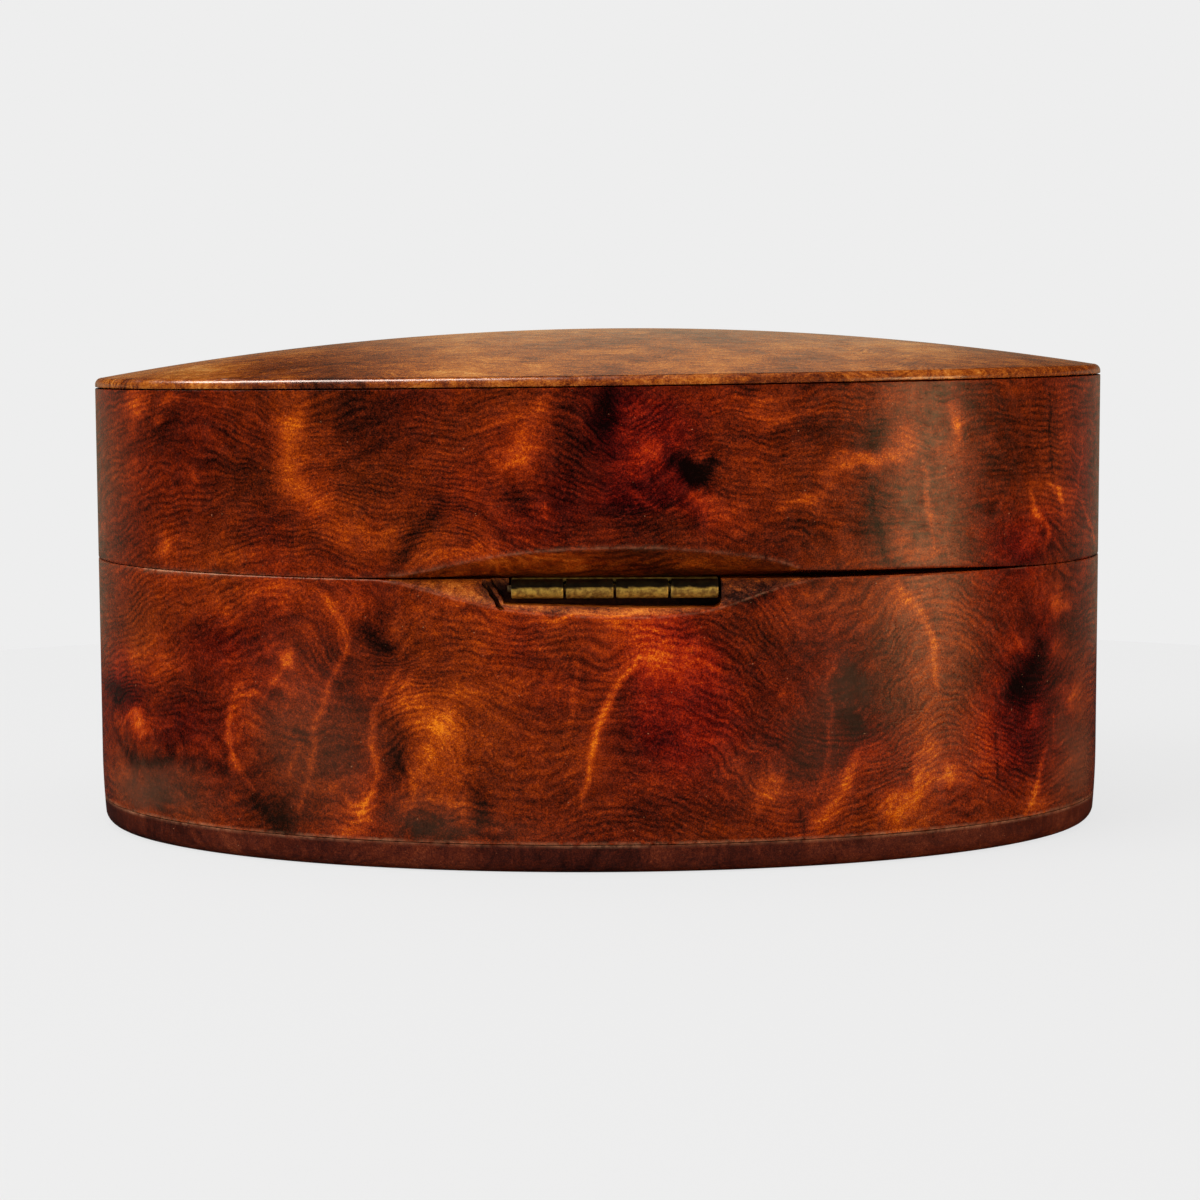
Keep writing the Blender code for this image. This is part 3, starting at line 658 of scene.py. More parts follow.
sweepTree = ovalTree()


def socketId(tree, name):
    items = tree.interface.items_tree
    return next(item.identifier for item in items if item.name == name and item.in_out == "INPUT")


def plainMesh(thing, name):
    evaluated = thing.evaluated_get(bpy.context.evaluated_depsgraph_get())
    mesh = bpy.data.meshes.new_from_object(evaluated)
    mesh.name = name
    old = thing.data
    thing.modifiers.clear()
    thing.data = mesh
    bpy.data.meshes.remove(old)
    return mesh


def outward(mesh):
    work = bmesh.new()
    work.from_mesh(mesh)
    bmesh.ops.recalc_face_normals(work, faces=work.faces)
    work.to_mesh(mesh)
    work.free()


def addPiece(name, mesh):
    thing = bpy.data.objects.new(name, mesh)
    bpy.context.scene.collection.objects.link(thing)
    return thing


def sweep(name, profile, columns, material):
    mesh = bpy.data.meshes.new(name)
    mesh.from_pydata([tuple(p) for p in profile], [(i, i + 1) for i in range(len(profile) - 1)], [])
    thing = addPiece(name, mesh)
    maker = thing.modifiers.new("sweep", "NODES")
    maker.node_group = sweepTree
    for label, value in (("Half Length", halfLength), ("Half Depth", halfDepth), ("Columns", columns),
                         ("Rows", len(profile)), ("Material", material)):
        maker[socketId(sweepTree, label)] = value
    plainMesh(thing, name)
    rows = np.zeros(len(thing.data.vertices), np.float32)
    thing.data.attributes["profileRow"].data.foreach_get("value", rows)
    return thing, np.round(rows).astype(int)


def steps(low, high, spacing):
    count = max(int(round(abs(high - low) / spacing)), 1)
    return list(np.linspace(low, high, count + 1))


# The line where the sloping cuts meet the outside, through pixels of the photograph
lidArris = [(376, 577.5), (395, 576), (415, 573.4), (440, 568), (464, 562.5), (499, 556), (534, 552),
            (590, 548.7), (625, 548), (658, 548.3), (699, 550.8), (741, 555), (766, 558), (791, 565),
            (805, 570), (820, 575.5)]
baseArris = [(380, 580.5), (394, 583), (415, 588), (436, 594), (457, 600), (478, 605), (500, 609.5),
             (530, 613.5), (570, 616.5), (620, 618), (660, 617.5), (700, 613), (719, 608.5), (741, 601),
             (766, 592), (791, 584.5), (815, 579.5)]


def arrisCurve(pixels):
    turned = sorted(onWall(*p) for p in pixels)
    return np.array([t[0] for t in turned]), np.array([t[1] for t in turned]) / 1000


walls = {
    "columns": 900,
    "farEdge": 0.00006,                 # how far in the hidden far edge starts
    "rowSpacing": 0.00042,
    "edge": 0.00022,                    # how much of each face the rim's soft edge takes
    "thickness": baseHigh.x - 0.051,
    "insideSpacing": 0.0016,
    "footHeight": 0.0085,
    "footInset": 0.0004,
    "seam": 0.00007,                    # between the base wall and the bottom plate
    "rimGap": 0.00005,                  # between the rims where they meet
    "gapDepth": 0.0043,                 # how far in the open gap at the back reaches
}


def footInset(z):
    return walls["footInset"] * np.clip(1 - z / walls["footHeight"], 0, 1) ** 1.9


# Rows of a wall's profile, from its flat far edge along the outside to the rim, across it and back inside
def wallProfile(farZ, rim, up):
    t = walls["thickness"]
    outside = steps(farZ, rim - up * walls["edge"], walls["rowSpacing"])
    rows = [("far", walls["edge"], farZ), ("far", walls["farEdge"], farZ),
            ("outside", 0, outside[0] + up * 0.00005)]
    rows += [("outside", 0, z) for z in outside[1:]]
    rows += [("edge", 0, rim)] * 3
    rows += [("cut", share, rim) for share in np.linspace(0, 1, 9)]
    rows += [("rim", share, rim) for share in np.linspace(0, 1, 9)[1:]]
    inner = steps(rim - up * 0.0003, farZ, walls["insideSpacing"])
    rows += [("inside", t, z) for z in inner]
    rows += [rows[0]]
    return rows


# Heights of the rim and of the outside edge, where the sloping cut starts, for points round the wall
def rimLines(s, st, rim, up, arris):
    rimHere = rim + rimShape(s, st, up)
    arrisS, arrisZ = arrisCurve(arris)
    ends = np.where(st > 0, np.interp(s, arrisS, arrisZ, left=rim, right=rim), rim)
    return rimHere, (np.minimum(ends, rimHere) if up > 0 else np.maximum(ends, rimHere))


def wallPiece(name, farZ, rim, up, arris, material):
    rows = wallProfile(farZ, rim, up)
    inset = [d if kind in ("outside", "far", "inside") else walls["thickness"] / 2 * (0.2 + i / len(rows))
             for i, (kind, d, z) in enumerate(rows)]
    profile = [(d, 1, z) for d, (kind, share, z) in zip(inset, rows)]
    thing, row = sweep(name, profile, walls["columns"], material)
    mesh = thing.data
    p = getPoints(mesh)
    kinds = np.array([r[0] for r in rows])[row]
    share = np.array([r[1] for r in rows])[row]
    z = np.array([r[2] for r in rows])[row]
    d = np.array(inset)[row]
    ct = p[:, 0] / (halfLength - d)
    st = p[:, 1] / (halfDepth - d)
    turn = np.arctan2(-ct, st)
    s = np.interp(turn, arcTurns, arcLength)
    # where the sloping cut starts and how deep it goes, for each vertex's own column
    rimHere, arrisHere = rimLines(s, st, rim, up, arris)
    drop = up * (rimHere - arrisHere)
    reach = np.where(st > 0.05, halfDepth - axisY / np.clip(st, 0.05, 1), 0)
    reach = np.clip(reach, 0, None) * np.clip(drop / 0.0004, 0, 1)
    soft = walls["edge"]
    reach = np.maximum(reach, soft * 1.6)

    def onTop(inward):
        # height of the cut or the rim at a distance in from the outside
        part = np.clip(inward / np.maximum(reach, 1e-6), 0, 1)
        return arrisHere + (rimHere - arrisHere) * part

    newD, newZ = d.copy(), z.copy()
    outside = kinds == "outside"
    top = rim - up * soft
    bendFrom = farZ + (top - farZ) * 0.42
    share2 = np.clip((z - bendFrom) / (top - bendFrom), 0, None)
    newZ = np.where(outside, z + share2 * (arrisHere - up * soft - top), newZ)
    edgeRows = [i for i, r in enumerate(rows) if r[0] == "edge"]
    edgeEnd = onTop(np.full(len(s), soft))
    for k, i in enumerate(edgeRows):
        t = (k + 1) / (len(edgeRows) + 1)
        newD = np.where(row == i, t * t * soft, newD)
        bend = (1 - t) ** 2 * (arrisHere - up * soft) + 2 * t * (1 - t) * arrisHere + t * t * edgeEnd
        newZ = np.where(row == i, bend, newZ)
    cutRows = kinds == "cut"
    inward = soft + share * (reach - soft)
    newD = np.where(cutRows, inward, newD)
    newZ = np.where(cutRows, onTop(inward), newZ)
    rimRows = kinds == "rim"
    inward = reach + share * (walls["thickness"] - 0.0003 - reach)
    newD = np.where(rimRows, inward, newD)
    closing = np.clip((walls["gapDepth"] - inward) / np.maximum(walls["gapDepth"] - reach, 0.0005), 0, 1)
    newZ = np.where(rimRows, rim + (rimHere - rim) * closing, newZ)
    if up > 0:
        newD = np.where(outside | (kinds == "far"), newD + footInset(newZ), newD)
    else:
        lift = -wedgeSlope * ct * (halfLength - newD)
        keep = np.clip((newZ - lidMiddle) / (farZ - lidMiddle), 0, 1)
        newZ = newZ + lift * keep
    p[:, 0] = (halfLength - newD) * ct
    p[:, 1] = (halfDepth - newD) * st
    p[:, 2] = newZ
    setPoints(mesh, p)
    outward(mesh)
    return thing


lidTopMiddle = 0.0523
wedgeSlope = 0.01                       # the lid wall rises towards -X by this much
lidMiddle = 0.044


def rimShape(s, st, up):
    # the lid's rim stands a little open along the back
    if up > 0:
        return np.zeros(len(s))
    gapS = [onWall(x, 575)[0] for x in (330, 395, 450, 510, 620, 770, 850, 940, 1000, 1045)]
    gapZ = [0, 0.00012, 0.00028, 0.00076, 0.00098, 0.00092, 0.00066, 0.00050, 0.00022, 0]
    return np.where(st > 0, np.interp(s, gapS, gapZ), 0)


baseWall = wallPiece("baseWall", 0.0032 + walls["seam"], rimZ, 1, baseArris, burlWood)
lidWall = wallPiece("lidWall", lidTopMiddle + 0.00016, rimZ + walls["rimGap"], -1, lidArris, burlWood)
print("walls ready", len(baseWall.data.polygons), len(lidWall.data.polygons))


# The bottom plate and the domed top
plates = {
    "columns": 480,
    "floorTop": 0.0032,
    "footRound": 0.0016,
    "edgeHeight": 0.0011,
    "edgeRound": 0.0008,
    "domeRise": 0.0050,
}


def bottomPiece():
    rows = [(0, share, plates["floorTop"]) for share in np.linspace(0.002, 0.96, 24)]
    rows += [(0, share, plates["floorTop"]) for share in (0.975, 0.985, 0.992)]
    low = plates["footRound"]
    top = plates["floorTop"]
    for inset, down in ((0.00012, 0), (0.00003, 0.00003)):
        rows.append((float(footInset(top - down)) + inset, 1, top - down))
    rows += [(float(footInset(z)), 1, z) for z in np.linspace(top - 0.0001, low, 6)]
    centre = float(footInset(low)) + low
    rows += [(centre - low * math.cos(a), 1, low * (1 - math.sin(a)))
             for a in np.linspace(0, math.pi / 2, 9)[1:]]
    rows += [(centre, share, 0) for share in (0.98, 0.9, 0.7, 0.5, 0.3)]
    rows += [(0, share, 0) for share in (0.2, 0.1, 0.002)]
    thing = sweep("bottomPlate", rows, plates["columns"], plateWood)[0]
    outward(closeEnds(thing.data))
    return thing


def closeEnds(mesh):
    # the small holes at the poles become faces
    work = bmesh.new()
    work.from_mesh(mesh)
    edges = [e for e in work.edges if e.is_boundary]
    bmesh.ops.holes_fill(work, edges=edges, sides=0)
    for face in work.faces:
        face.smooth = True
    work.to_mesh(mesh)
    work.free()
    return mesh


def topPiece():
    crown = 1 - plates["edgeRound"] / halfLength
    shares = np.concatenate([np.linspace(0.002, 0.9, 64), np.linspace(0.9, crown, 16)[1:]])
    rise = plates["domeRise"]
    rows = [(0, s, plates["edgeHeight"] + rise * (1 - (s / crown) ** 2)) for s in shares]
    r = plates["edgeRound"]
    rows += [(r * (1 - math.cos(a)), 1, plates["edgeHeight"] - r * (1 - math.sin(a)))
             for a in np.linspace(math.pi / 2, 0, 8)[1:]]
    rows += [(0, 1, 0.00012), (0.00004, 1, 0.00004), (0.00016, 1, 0)]
    rows += [(0, s, 0) for s in (0.985, 0.97, 0.9, 0.8, 0.6, 0.4, 0.2, 0.1, 0.002)]
    thing = sweep("lidTop", rows, plates["columns"], topWood)[0]
    mesh = closeEnds(thing.data)
    outward(mesh)
    slant = Matrix.Rotation(math.atan(wedgeSlope), 4, "Y")
    mesh.transform(Matrix.Translation((0, 0, lidTopMiddle + 0.0003)) @ slant)
    return thing


bottomPlate = bottomPiece()
lidTop = topPiece()
print("plates ready")


# The pocket for the hinge, cut out of the base wall
# Corners of the pocket as seen from behind, in millimetres: x, z
pocket = {
    "corners": [(-13.05, 33.5), (-13.05, 29.7), (-12.95, 29.3), (-12.7, 29.0), (-12.3, 28.85),
                (-6.0, 28.82), (0.0, 28.95), (5.0, 29.1), (9.6, 29.2), (10.35, 29.3), (10.55, 29.9),
                (10.95, 30.3), (11.1, 30.7), (11.55, 31.1), (11.75, 31.6), (11.9, 33.5)],
    # a split beside the pocket's end, with a sliver of wood left between
    "split": [(10.15, 28.75), (10.75, 28.66), (11.15, 28.95), (11.3, 29.5), (11.85, 30.1),
              (12.05, 30.6), (12.7, 31.2), (12.9, 33.5), (12.4, 33.5), (12.25, 31.5), (11.6, 30.75),
              (11.35, 30.3), (10.9, 29.85), (10.7, 29.3)],
    "back": 0.03555,
    "seatLow": (-0.01305, 0.0320, 0.0304),
    "seatHigh": (0.00985, 0.0370, 0.0350),
}


def blockMesh(name, low, high):
    work = bmesh.new()
    low, high = Vector(low), Vector(high)
    size = high - low
    middle = Matrix.Translation((low + high) / 2)
    bmesh.ops.create_cube(work, size=1, matrix=middle @ Matrix.Diagonal((*size, 1)))
    mesh = bpy.data.meshes.new(name)
    work.to_mesh(mesh)
    work.free()
    return mesh


def extruded(name, corners, lowY, highY):
    count = len(corners)
    points = [(x / 1000, y, z / 1000) for y in (lowY, highY) for x, z in corners]
    faces = [tuple(range(count)), tuple(range(2 * count - 1, count - 1, -1))]
    faces += [(i, i + count, (i + 1) % count + count, (i + 1) % count) for i in range(count)]
    mesh = bpy.data.meshes.new(name)
    mesh.from_pydata(points, [], faces)
    outward(mesh)
    return mesh


def cutAway(thing, meshes):
    for mesh in meshes:
        tool = addPiece(mesh.name, mesh)
        cut = thing.modifiers.new("cut", "BOOLEAN")
        cut.operation = "DIFFERENCE"
        cut.solver = "EXACT"
        cut.object = tool
    plainMesh(thing, thing.name)
    for mesh in meshes:
        bpy.data.objects.remove(bpy.data.objects[mesh.name], do_unlink=True)


cutAway(baseWall, [extruded("pocketTool", pocket["corners"], pocket["back"], halfDepth + 0.002),
                   extruded("splitTool", pocket["split"], pocket["back"] + 0.0012, halfDepth + 0.002),
                   blockMesh("seatTool", pocket["seatLow"], pocket["seatHigh"])])
print("pocket cut", len(baseWall.data.polygons))


# Fields on the finished walls and plates
def faceInfo(mesh):
    normals = np.zeros(len(mesh.polygons) * 3)
    centres = np.zeros(len(mesh.polygons) * 3)
    mesh.polygons.foreach_get("normal", normals)
    mesh.polygons.foreach_get("center", centres)
    return normals.reshape(-1, 3), centres.reshape(-1, 3)


def ovalDepth(p):
    # distance in from the outside, near enough
    shape = np.sqrt((p[:, 0] / halfLength) ** 2 + (p[:, 1] / halfDepth) ** 2)
    return (1 - shape) * np.hypot(p[:, 0], p[:, 1]) / np.maximum(shape, 1e-6)


def setMaterials(mesh, materials, picks):
    mesh.materials.clear()
    for material in materials:
        mesh.materials.append(material)
    mesh.polygons.foreach_set("material_index", picks.astype(np.int32))


# The scooped cuts: pixel columns, how scraped the wood is there and how pale the cut's edge (wear with a
# painted highlight)
scoops = {
    "base": ([380, 440, 500, 560, 640, 700, 750, 815], [0.65, 0.72, 0.65, 0.35, 0.30, 0.25, 0.22, 0.3],
             [0.3, 0.65, 0.5, 0.12, 0.12, 0.25, 0.3, 0.15]),
    "lid": ([376, 440, 520, 600, 660, 720, 820], [0.25, 0.45, 0.50, 0.25, 0.25, 0.42, 0.40],
            [0.3, 0.5, 0.7, 0.85, 0.85, 0.75, 0.4]),
}


def dressWall(thing, rim, up, arris):
    mesh = thing.data
    p = getPoints(mesh)
    for name, values in burlFields(p).items():
        setField(mesh, name, values)
    turn = np.arctan2(-p[:, 0] / halfLength, p[:, 1] / halfDepth)
    s = np.interp(turn, arcTurns, arcLength)
    deep = ovalDepth(p) - (footInset(p[:, 2]) if up > 0 else 0)
    back = p[:, 1] > 0.02
    rimHere, arrisHere = rimLines(s, p[:, 1] * 100, rim, up, arris)
    beyond = up * (p[:, 2] - arrisHere)
    sloping = back & (np.abs(arrisHere - rimHere) > 0.0002)
    scooped = sloping & (deep > 0.00012)
    places, amounts, edges = scoops["base" if up > 0 else "lid"]
    alongScoop = [onWall(x, 580)[0] for x in places][::-1]
    scraped = np.interp(s, alongScoop, amounts[::-1])
    edgeLine = np.interp(s, alongScoop, edges[::-1])
    cut = np.where(scooped, np.clip((deep - 0.0001) / 0.0002, 0, 1), 0) * scraped
    setField(mesh, "cut", cut)
    rough = wave(p * 1000, 2.5, 5, 3)
    edgeFar = np.abs(beyond)
    plain, leftMore = (0.25, 0.65) if up > 0 else (0.05, 0.1)
    line = np.where(sloping, edgeLine, plain + leftMore * np.clip((-22 - s) / 8, 0, 1) * back)
    # the rubbed line, worn wood with a painted highlight, is wider at the left end of the base
    soft = (0.00011 + 0.00008 * np.clip((-40 - s) / 10, 0, 1)) if up > 0 else 0.00019
    wearAndHighlight = line * np.exp(-(np.hypot(np.clip(deep, 0, None) * 0.8, edgeFar) / soft) ** 2)
    wearAndHighlight *= np.clip(0.85 + 0.5 * rough, 0, 1.2)
    if up > 0:
        # a pale painted highlight line along the seam above the bottom plate
        low = np.exp(-((p[:, 2] - 0.00327) / 0.00012) ** 2)
        wearAndHighlight = np.maximum(wearAndHighlight, low * (0.42 + 0.3 * rough))
    setField(mesh, "wearAndHighlight", np.clip(wearAndHighlight, 0, 1))
    # painted shade: the hinge pocket goes near black, more so the deeper in it lies
    paintedShade = np.zeros(len(p))
    if up > 0:
        x, y, z = p[:, 0], p[:, 1], p[:, 2]
        inPocket = (x > -0.01315) & (x < 0.0127) & (y > 0.0318) & (z > 0.0287) & (deep > 0.0004)
        deepShade = np.clip((halfDepth - 0.0006 - y) / 0.002, 0.0, 1) * 0.9
        paintedShade = np.where(inPocket & (z < 0.0317), deepShade, paintedShade)
    setField(mesh, "paintedShade", paintedShade)
    centres = faceInfo(mesh)[1]
    reach = walls["thickness"] - 0.0002
    inside = (centres[:, 0] / (halfLength - reach)) ** 2 + (centres[:, 1] / (halfDepth - reach)) ** 2 < 1
    setMaterials(mesh, [burlWood, bareWood], inside)


dressWall(baseWall, rimZ, 1, baseArris)
dressWall(lidWall, rimZ + walls["rimGap"], -1, lidArris)


def dressPlate(thing, material, insideUp, tone, seed):
    mesh = thing.data
    p = getPoints(mesh)
    mm = p * 1000
    bend = mm[:, 1] + 5.0 * wave(mm, 18.0, seed, 3) + 0.8 * wave(mm, 5.0, seed + 4, 2)
    height = bend + 0.35 * mm[:, 0] * np.sin(mm[:, 0] / 30)
    setField(mesh, "phase", height / 0.7)
    setField(mesh, "tone", tone(mm, seed))
    setField(mesh, "cut", np.zeros(len(p)))
    setField(mesh, "wearAndHighlight", edgeWearAndHighlight(p, thing.name))
    setField(mesh, "paintedShade", np.zeros(len(p)))
    normals, centres = faceInfo(mesh)
    shape = np.sqrt((centres[:, 0] / halfLength) ** 2 + (centres[:, 1] / halfDepth) ** 2)
    facing = normals[:, 2] * (1 if insideUp else -1) > 0.6
    setMaterials(mesh, [material, bareWood], facing & (shape < 0.9))


def edgeWearAndHighlight(p, name):
    rough = wave(p * 1000, 3.0, 8, 3)
    if name == "bottomPlate":
        # a pale painted highlight line along the plate's top edge, at the seam
        return np.clip(np.exp(-((p[:, 2] - 0.0032) / 0.00012) ** 2) * (0.45 + 0.3 * rough), 0, 1) \
            * (ovalDepth(p) < 0.001)
    return np.zeros(len(p))


def topTone(mm, seed):
    x = mm[:, 0]
    base = 0.53 + 0.13 * wave(mm, 12.0, seed + 7, 3) + 0.10 * wave(mm, 4.0, seed + 9, 3)
    base += np.interp(-x, [-60, -50, -44, -38, -30, -22, -16, -8, 0, 15, 34, 45, 60],
                      [0.0, 0.16, 0.14, -0.04, -0.12, 0.06, 0.20, 0.12, 0.07, 0.05, 0.08, 0.02, -0.05])
    rim = np.clip((np.hypot(x / halfLength, mm[:, 1] / halfDepth) / 1000 - 0.975) / 0.008, 0, 1)
    return base - rim * np.interp(x, [-30, 30], [0.03, 0.09])


def plateTone(mm, seed):
    base = 0.5 + 0.17 * np.clip(-mm[:, 0] / 40, 0, 1)
    return base + 0.14 * wave(mm, 9.0, seed + 7, 3) + 0.08 * wave(mm, 3.0, seed + 9, 3)


dressPlate(lidTop, topWood, False, topTone, 31)
dressPlate(bottomPlate, plateWood, True, plateTone, 41)
print("wood dressed")


# Smooth shading, with edges sharper than so many degrees kept sharp
def smoothUpTo(mesh, degrees):
    mesh.shade_smooth()
    mesh.set_sharp_from_angle(angle=math.radians(degrees))


# The hinge
hinge = {
    "radius": 0.00105,
    "bore": 0.00065,
    "pinRadius": 0.0004,
    "pinSides": 32,
    "round": 0.00016,
    "baseLength": 0.0056,
    "lidLength": 0.0051,
    "pitch": 0.0113,
    "baseFirst": -0.00735,              # low ends of the first knuckles
    "lidFirst": -0.01275,
    "count": 2,
    "turnSteps": 48,
    "seamTurn": 150,                    # where round the barrel the sheet closes, degrees
    "leafThickness": 0.0004,
    "leafOuterY": 0.03555,
    "leafInnerY": 0.0323,
    "baseLeafZ": 0.0307,
    "lidLeafZ": 0.0314,
    "screwX": (0.0049, -0.0081),
    "screwY": 0.033925,
    "sinkNarrow": 0.00066,              # radii and depth of a countersink
    "sinkWide": 0.00112,
    "sinkDepth": 0.00048,
    "sinkBelow": 0.00018,               # its middle, under the face of the leaf
    "leafBevel": 0.00006,
    "stripOverlap": 0.0004,             # how far a strip to a knuckle reaches into the leaf
    "stripShort": 0.0009,               # and how far before the pin's middle it ends
}


# One rolled knuckle: a barrel with a seam where the sheet closes on itself
def knuckleMesh(name, length):
    seamTurn = math.radians(hinge["seamTurn"])
    n = hinge["turnSteps"]
    r, b, e = hinge["radius"], hinge["bore"], hinge["round"]
    rings = [(0.0, b), (0.0, r - e * 1.2)]
    rings += [(e * (1 - math.cos(a)), r - e * (1 - math.sin(a))) for a in np.linspace(0.3, math.pi / 2, 4)]
    rings += [(x, r) for x in np.linspace(e, length - e, 16)[1:-1]]
    rings += [(length - e * (1 - math.cos(a)), r - e * (1 - math.sin(a)))
              for a in np.linspace(math.pi / 2, 0.3, 4)]
    rings += [(length, r - e * 1.2), (length, b)]
    points = []
    for x, radius in rings:
        for i in range(n):
            turn = 2 * math.pi * i / n
            away = math.atan2(math.sin(turn - seamTurn), math.cos(turn - seamTurn))
            seam = 0.00010 * math.exp(-(away / 0.09) ** 2) if radius > b else 0
            points.append((x, (radius - seam) * math.cos(turn), (radius - seam) * math.sin(turn)))
    count = len(rings)
    faces = []
    for k in range(count):
        for i in range(n):
            j, m = (i + 1) % n, (k + 1) % count
            faces.append((k * n + i, k * n + j, m * n + j, m * n + i))
    mesh = bpy.data.meshes.new(name)
    mesh.from_pydata(points, [], faces)
    outward(mesh)
    return mesh


# Repeats its geometry along X, the knuckles on a leaf and the screws in it
def rowTree():
    tree = bpy.data.node_groups.new("rowAlongPin", "GeometryNodeTree")
    face = tree.interface
    face.new_socket("Geometry", in_out="INPUT", socket_type="NodeSocketGeometry")
    for name, kind in (("Count", "NodeSocketInt"), ("Pitch", "NodeSocketFloat"),
                       ("Start", "NodeSocketVector"), ("Material", "NodeSocketMaterial")):
        face.new_socket(name, in_out="INPUT", socket_type=kind)
    face.new_socket("Geometry", in_out="OUTPUT", socket_type="NodeSocketGeometry")
    start = tree.nodes.new("NodeGroupInput")
    end = tree.nodes.new("NodeGroupOutput")
    offset = addNode(tree, "ShaderNodeCombineXYZ", {0: start.outputs[2]})
    line = addNode(tree, "GeometryNodeMeshLine", {"Count": start.outputs[1], "Start Location": start.outputs[3],
                                                  "Offset": offset.outputs[0]})
    copies = addNode(tree, "GeometryNodeInstanceOnPoints", {"Points": line.outputs[0],
                                                            "Instance": start.outputs[0]})
    real = addNode(tree, "GeometryNodeRealizeInstances", {"Geometry": copies.outputs[0]})
    dressed = addNode(tree, "GeometryNodeSetMaterial", {"Geometry": real.outputs[0],
                                                        "Material": start.outputs[4]})
    put(tree, end.inputs[0], dressed.outputs[0])
    return tree


pinRow = rowTree()


def repeat(name, mesh, count, pitch, start, material):
    thing = addPiece(name, mesh)
    maker = thing.modifiers.new("row", "NODES")
    maker.node_group = pinRow
    for label, value in (("Count", count), ("Pitch", pitch), ("Start", start), ("Material", material)):
        maker[socketId(pinRow, label)] = value
    plainMesh(thing, name)
    return thing


def joinMeshes(thing, others):
    work = bmesh.new()
    work.from_mesh(thing.data)
    for mesh in others:
        work.from_mesh(mesh)
    work.to_mesh(thing.data)
    work.free()


def leafMesh(name, lowZ, spans):
    x0, x1 = hinge["lidFirst"], hinge["baseFirst"] + hinge["pitch"] + hinge["baseLength"]
    t = hinge["leafThickness"]
    block = blockMesh(name, (x0, hinge["leafInnerY"], lowZ), (x1, hinge["leafOuterY"], lowZ + t))
    plate = addPiece(name, block)
    work = bmesh.new()
    work.from_mesh(plate.data)
    bmesh.ops.bevel(work, geom=list(work.edges), offset=hinge["leafBevel"], segments=2, affect="EDGES")
    short, overlap = hinge["stripShort"], hinge["stripOverlap"]
    for low, high in spans:
        size = Vector((high - low, axisY - short - hinge["leafOuterY"] + overlap, t * 0.96))
        middleY = (axisY - short + hinge["leafOuterY"] - overlap) / 2
        middle = Vector(((low + high) / 2, middleY, lowZ + t / 2))
        bmesh.ops.create_cube(work, size=1, matrix=Matrix.Translation(middle) @ Matrix.Diagonal((*size, 1)))
    work.to_mesh(plate.data)
    work.free()
    return plate


def hingePiece(name, leafZ, first, length, material, faceUp):
    knuckles = repeat(name, knuckleMesh(name + "Knuckle", length), hinge["count"], hinge["pitch"],
                      (first, axisY, axisZ), material)
    spans = [(first + i * hinge["pitch"], first + i * hinge["pitch"] + length) for i in range(hinge["count"])]
    leaf = leafMesh(name + "Leaf", leafZ, spans)
    tools = []
    for x in hinge["screwX"]:
        work = bmesh.new()
        face = leafZ + (hinge["leafThickness"] if faceUp else 0)
        side = 1 if faceUp else -1
        place = Matrix.Translation((x, hinge["screwY"], face - side * hinge["sinkBelow"]))
        place = place @ Matrix.Rotation(0 if faceUp else math.pi, 4, "X")
        bmesh.ops.create_cone(work, cap_ends=True, segments=32, radius1=hinge["sinkNarrow"],
                              radius2=hinge["sinkWide"], depth=hinge["sinkDepth"], matrix=place)
        tool = bpy.data.meshes.new(f"{name}Hole{x:.4f}")
        work.to_mesh(tool)
        work.free()
        tools.append(tool)
    cutAway(leaf, tools)
    joinMeshes(knuckles, [leaf.data])
    bpy.data.objects.remove(leaf, do_unlink=True)
    mesh = knuckles.data
    mesh.materials.clear()
    mesh.materials.append(material)
    p = getPoints(mesh)
    ends = np.full(len(p), 1.0)
    for low, high in spans:
        ends = np.minimum(ends, np.minimum(np.abs(p[:, 0] - low), np.abs(p[:, 0] - high)))
    radial = np.hypot(p[:, 1] - axisY, p[:, 2] - axisZ)
    onBarrel = np.abs(radial - hinge["radius"]) < 0.0003
    # painted highlight, partly polish, round the knuckle ends
    bright = np.where(onBarrel & (ends < 0.00013), 0.55, 0)
    setField(mesh, "wearAndHighlight", bright * (0.6 + 0.5 * wave(p * 1000, 0.9, 3, 2)))
    # painted shade: the barrels darken above the pin's axis, under the lid, and on their side towards the
    # pocket; the leaves, between lid and base, a little
    barrelShade = np.clip((p[:, 2] - axisZ - 0.00006 + 0.0001 * wave(p * 1000, 0.7, 4, 2)) / 0.00016, 0, 1)
    barrelShade = np.maximum((axisY + 0.0002 - p[:, 1]) / 0.0006, barrelShade)
    setField(mesh, "paintedShade", np.where(onBarrel, np.clip(barrelShade, 0, 0.98), 0.1))
    smoothUpTo(mesh, 40)
    return knuckles


baseHinge = hingePiece("baseHinge", hinge["baseLeafZ"], hinge["baseFirst"], hinge["baseLength"],
                       agedBrass, True)
lidHinge = hingePiece("lidHinge", hinge["lidLeafZ"], hinge["lidFirst"], hinge["lidLength"],
                      leafBrass, False)


# A mesh turned from (place along the axis, radius) rings, its end holes closed
def turnedMesh(name, rings, sides, spot):
    turns = [2 * math.pi * i / sides for i in range(sides)]
    points = [spot(along, q * math.cos(turn), q * math.sin(turn)) for along, q in rings for turn in turns]
    faces = []
    for low in range(0, (len(rings) - 1) * sides, sides):
        for i in range(sides):
            j = (i + 1) % sides
            faces.append((low + i, low + j, low + sides + j, low + sides + i))
    mesh = bpy.data.meshes.new(name)
    mesh.from_pydata(points, [], faces)
    work = bmesh.new()
    work.from_mesh(mesh)
    bmesh.ops.holes_fill(work, edges=[e for e in work.edges if e.is_boundary], sides=0)
    bmesh.ops.recalc_face_normals(work, faces=work.faces)
    work.to_mesh(mesh)
    work.free()
    return mesh


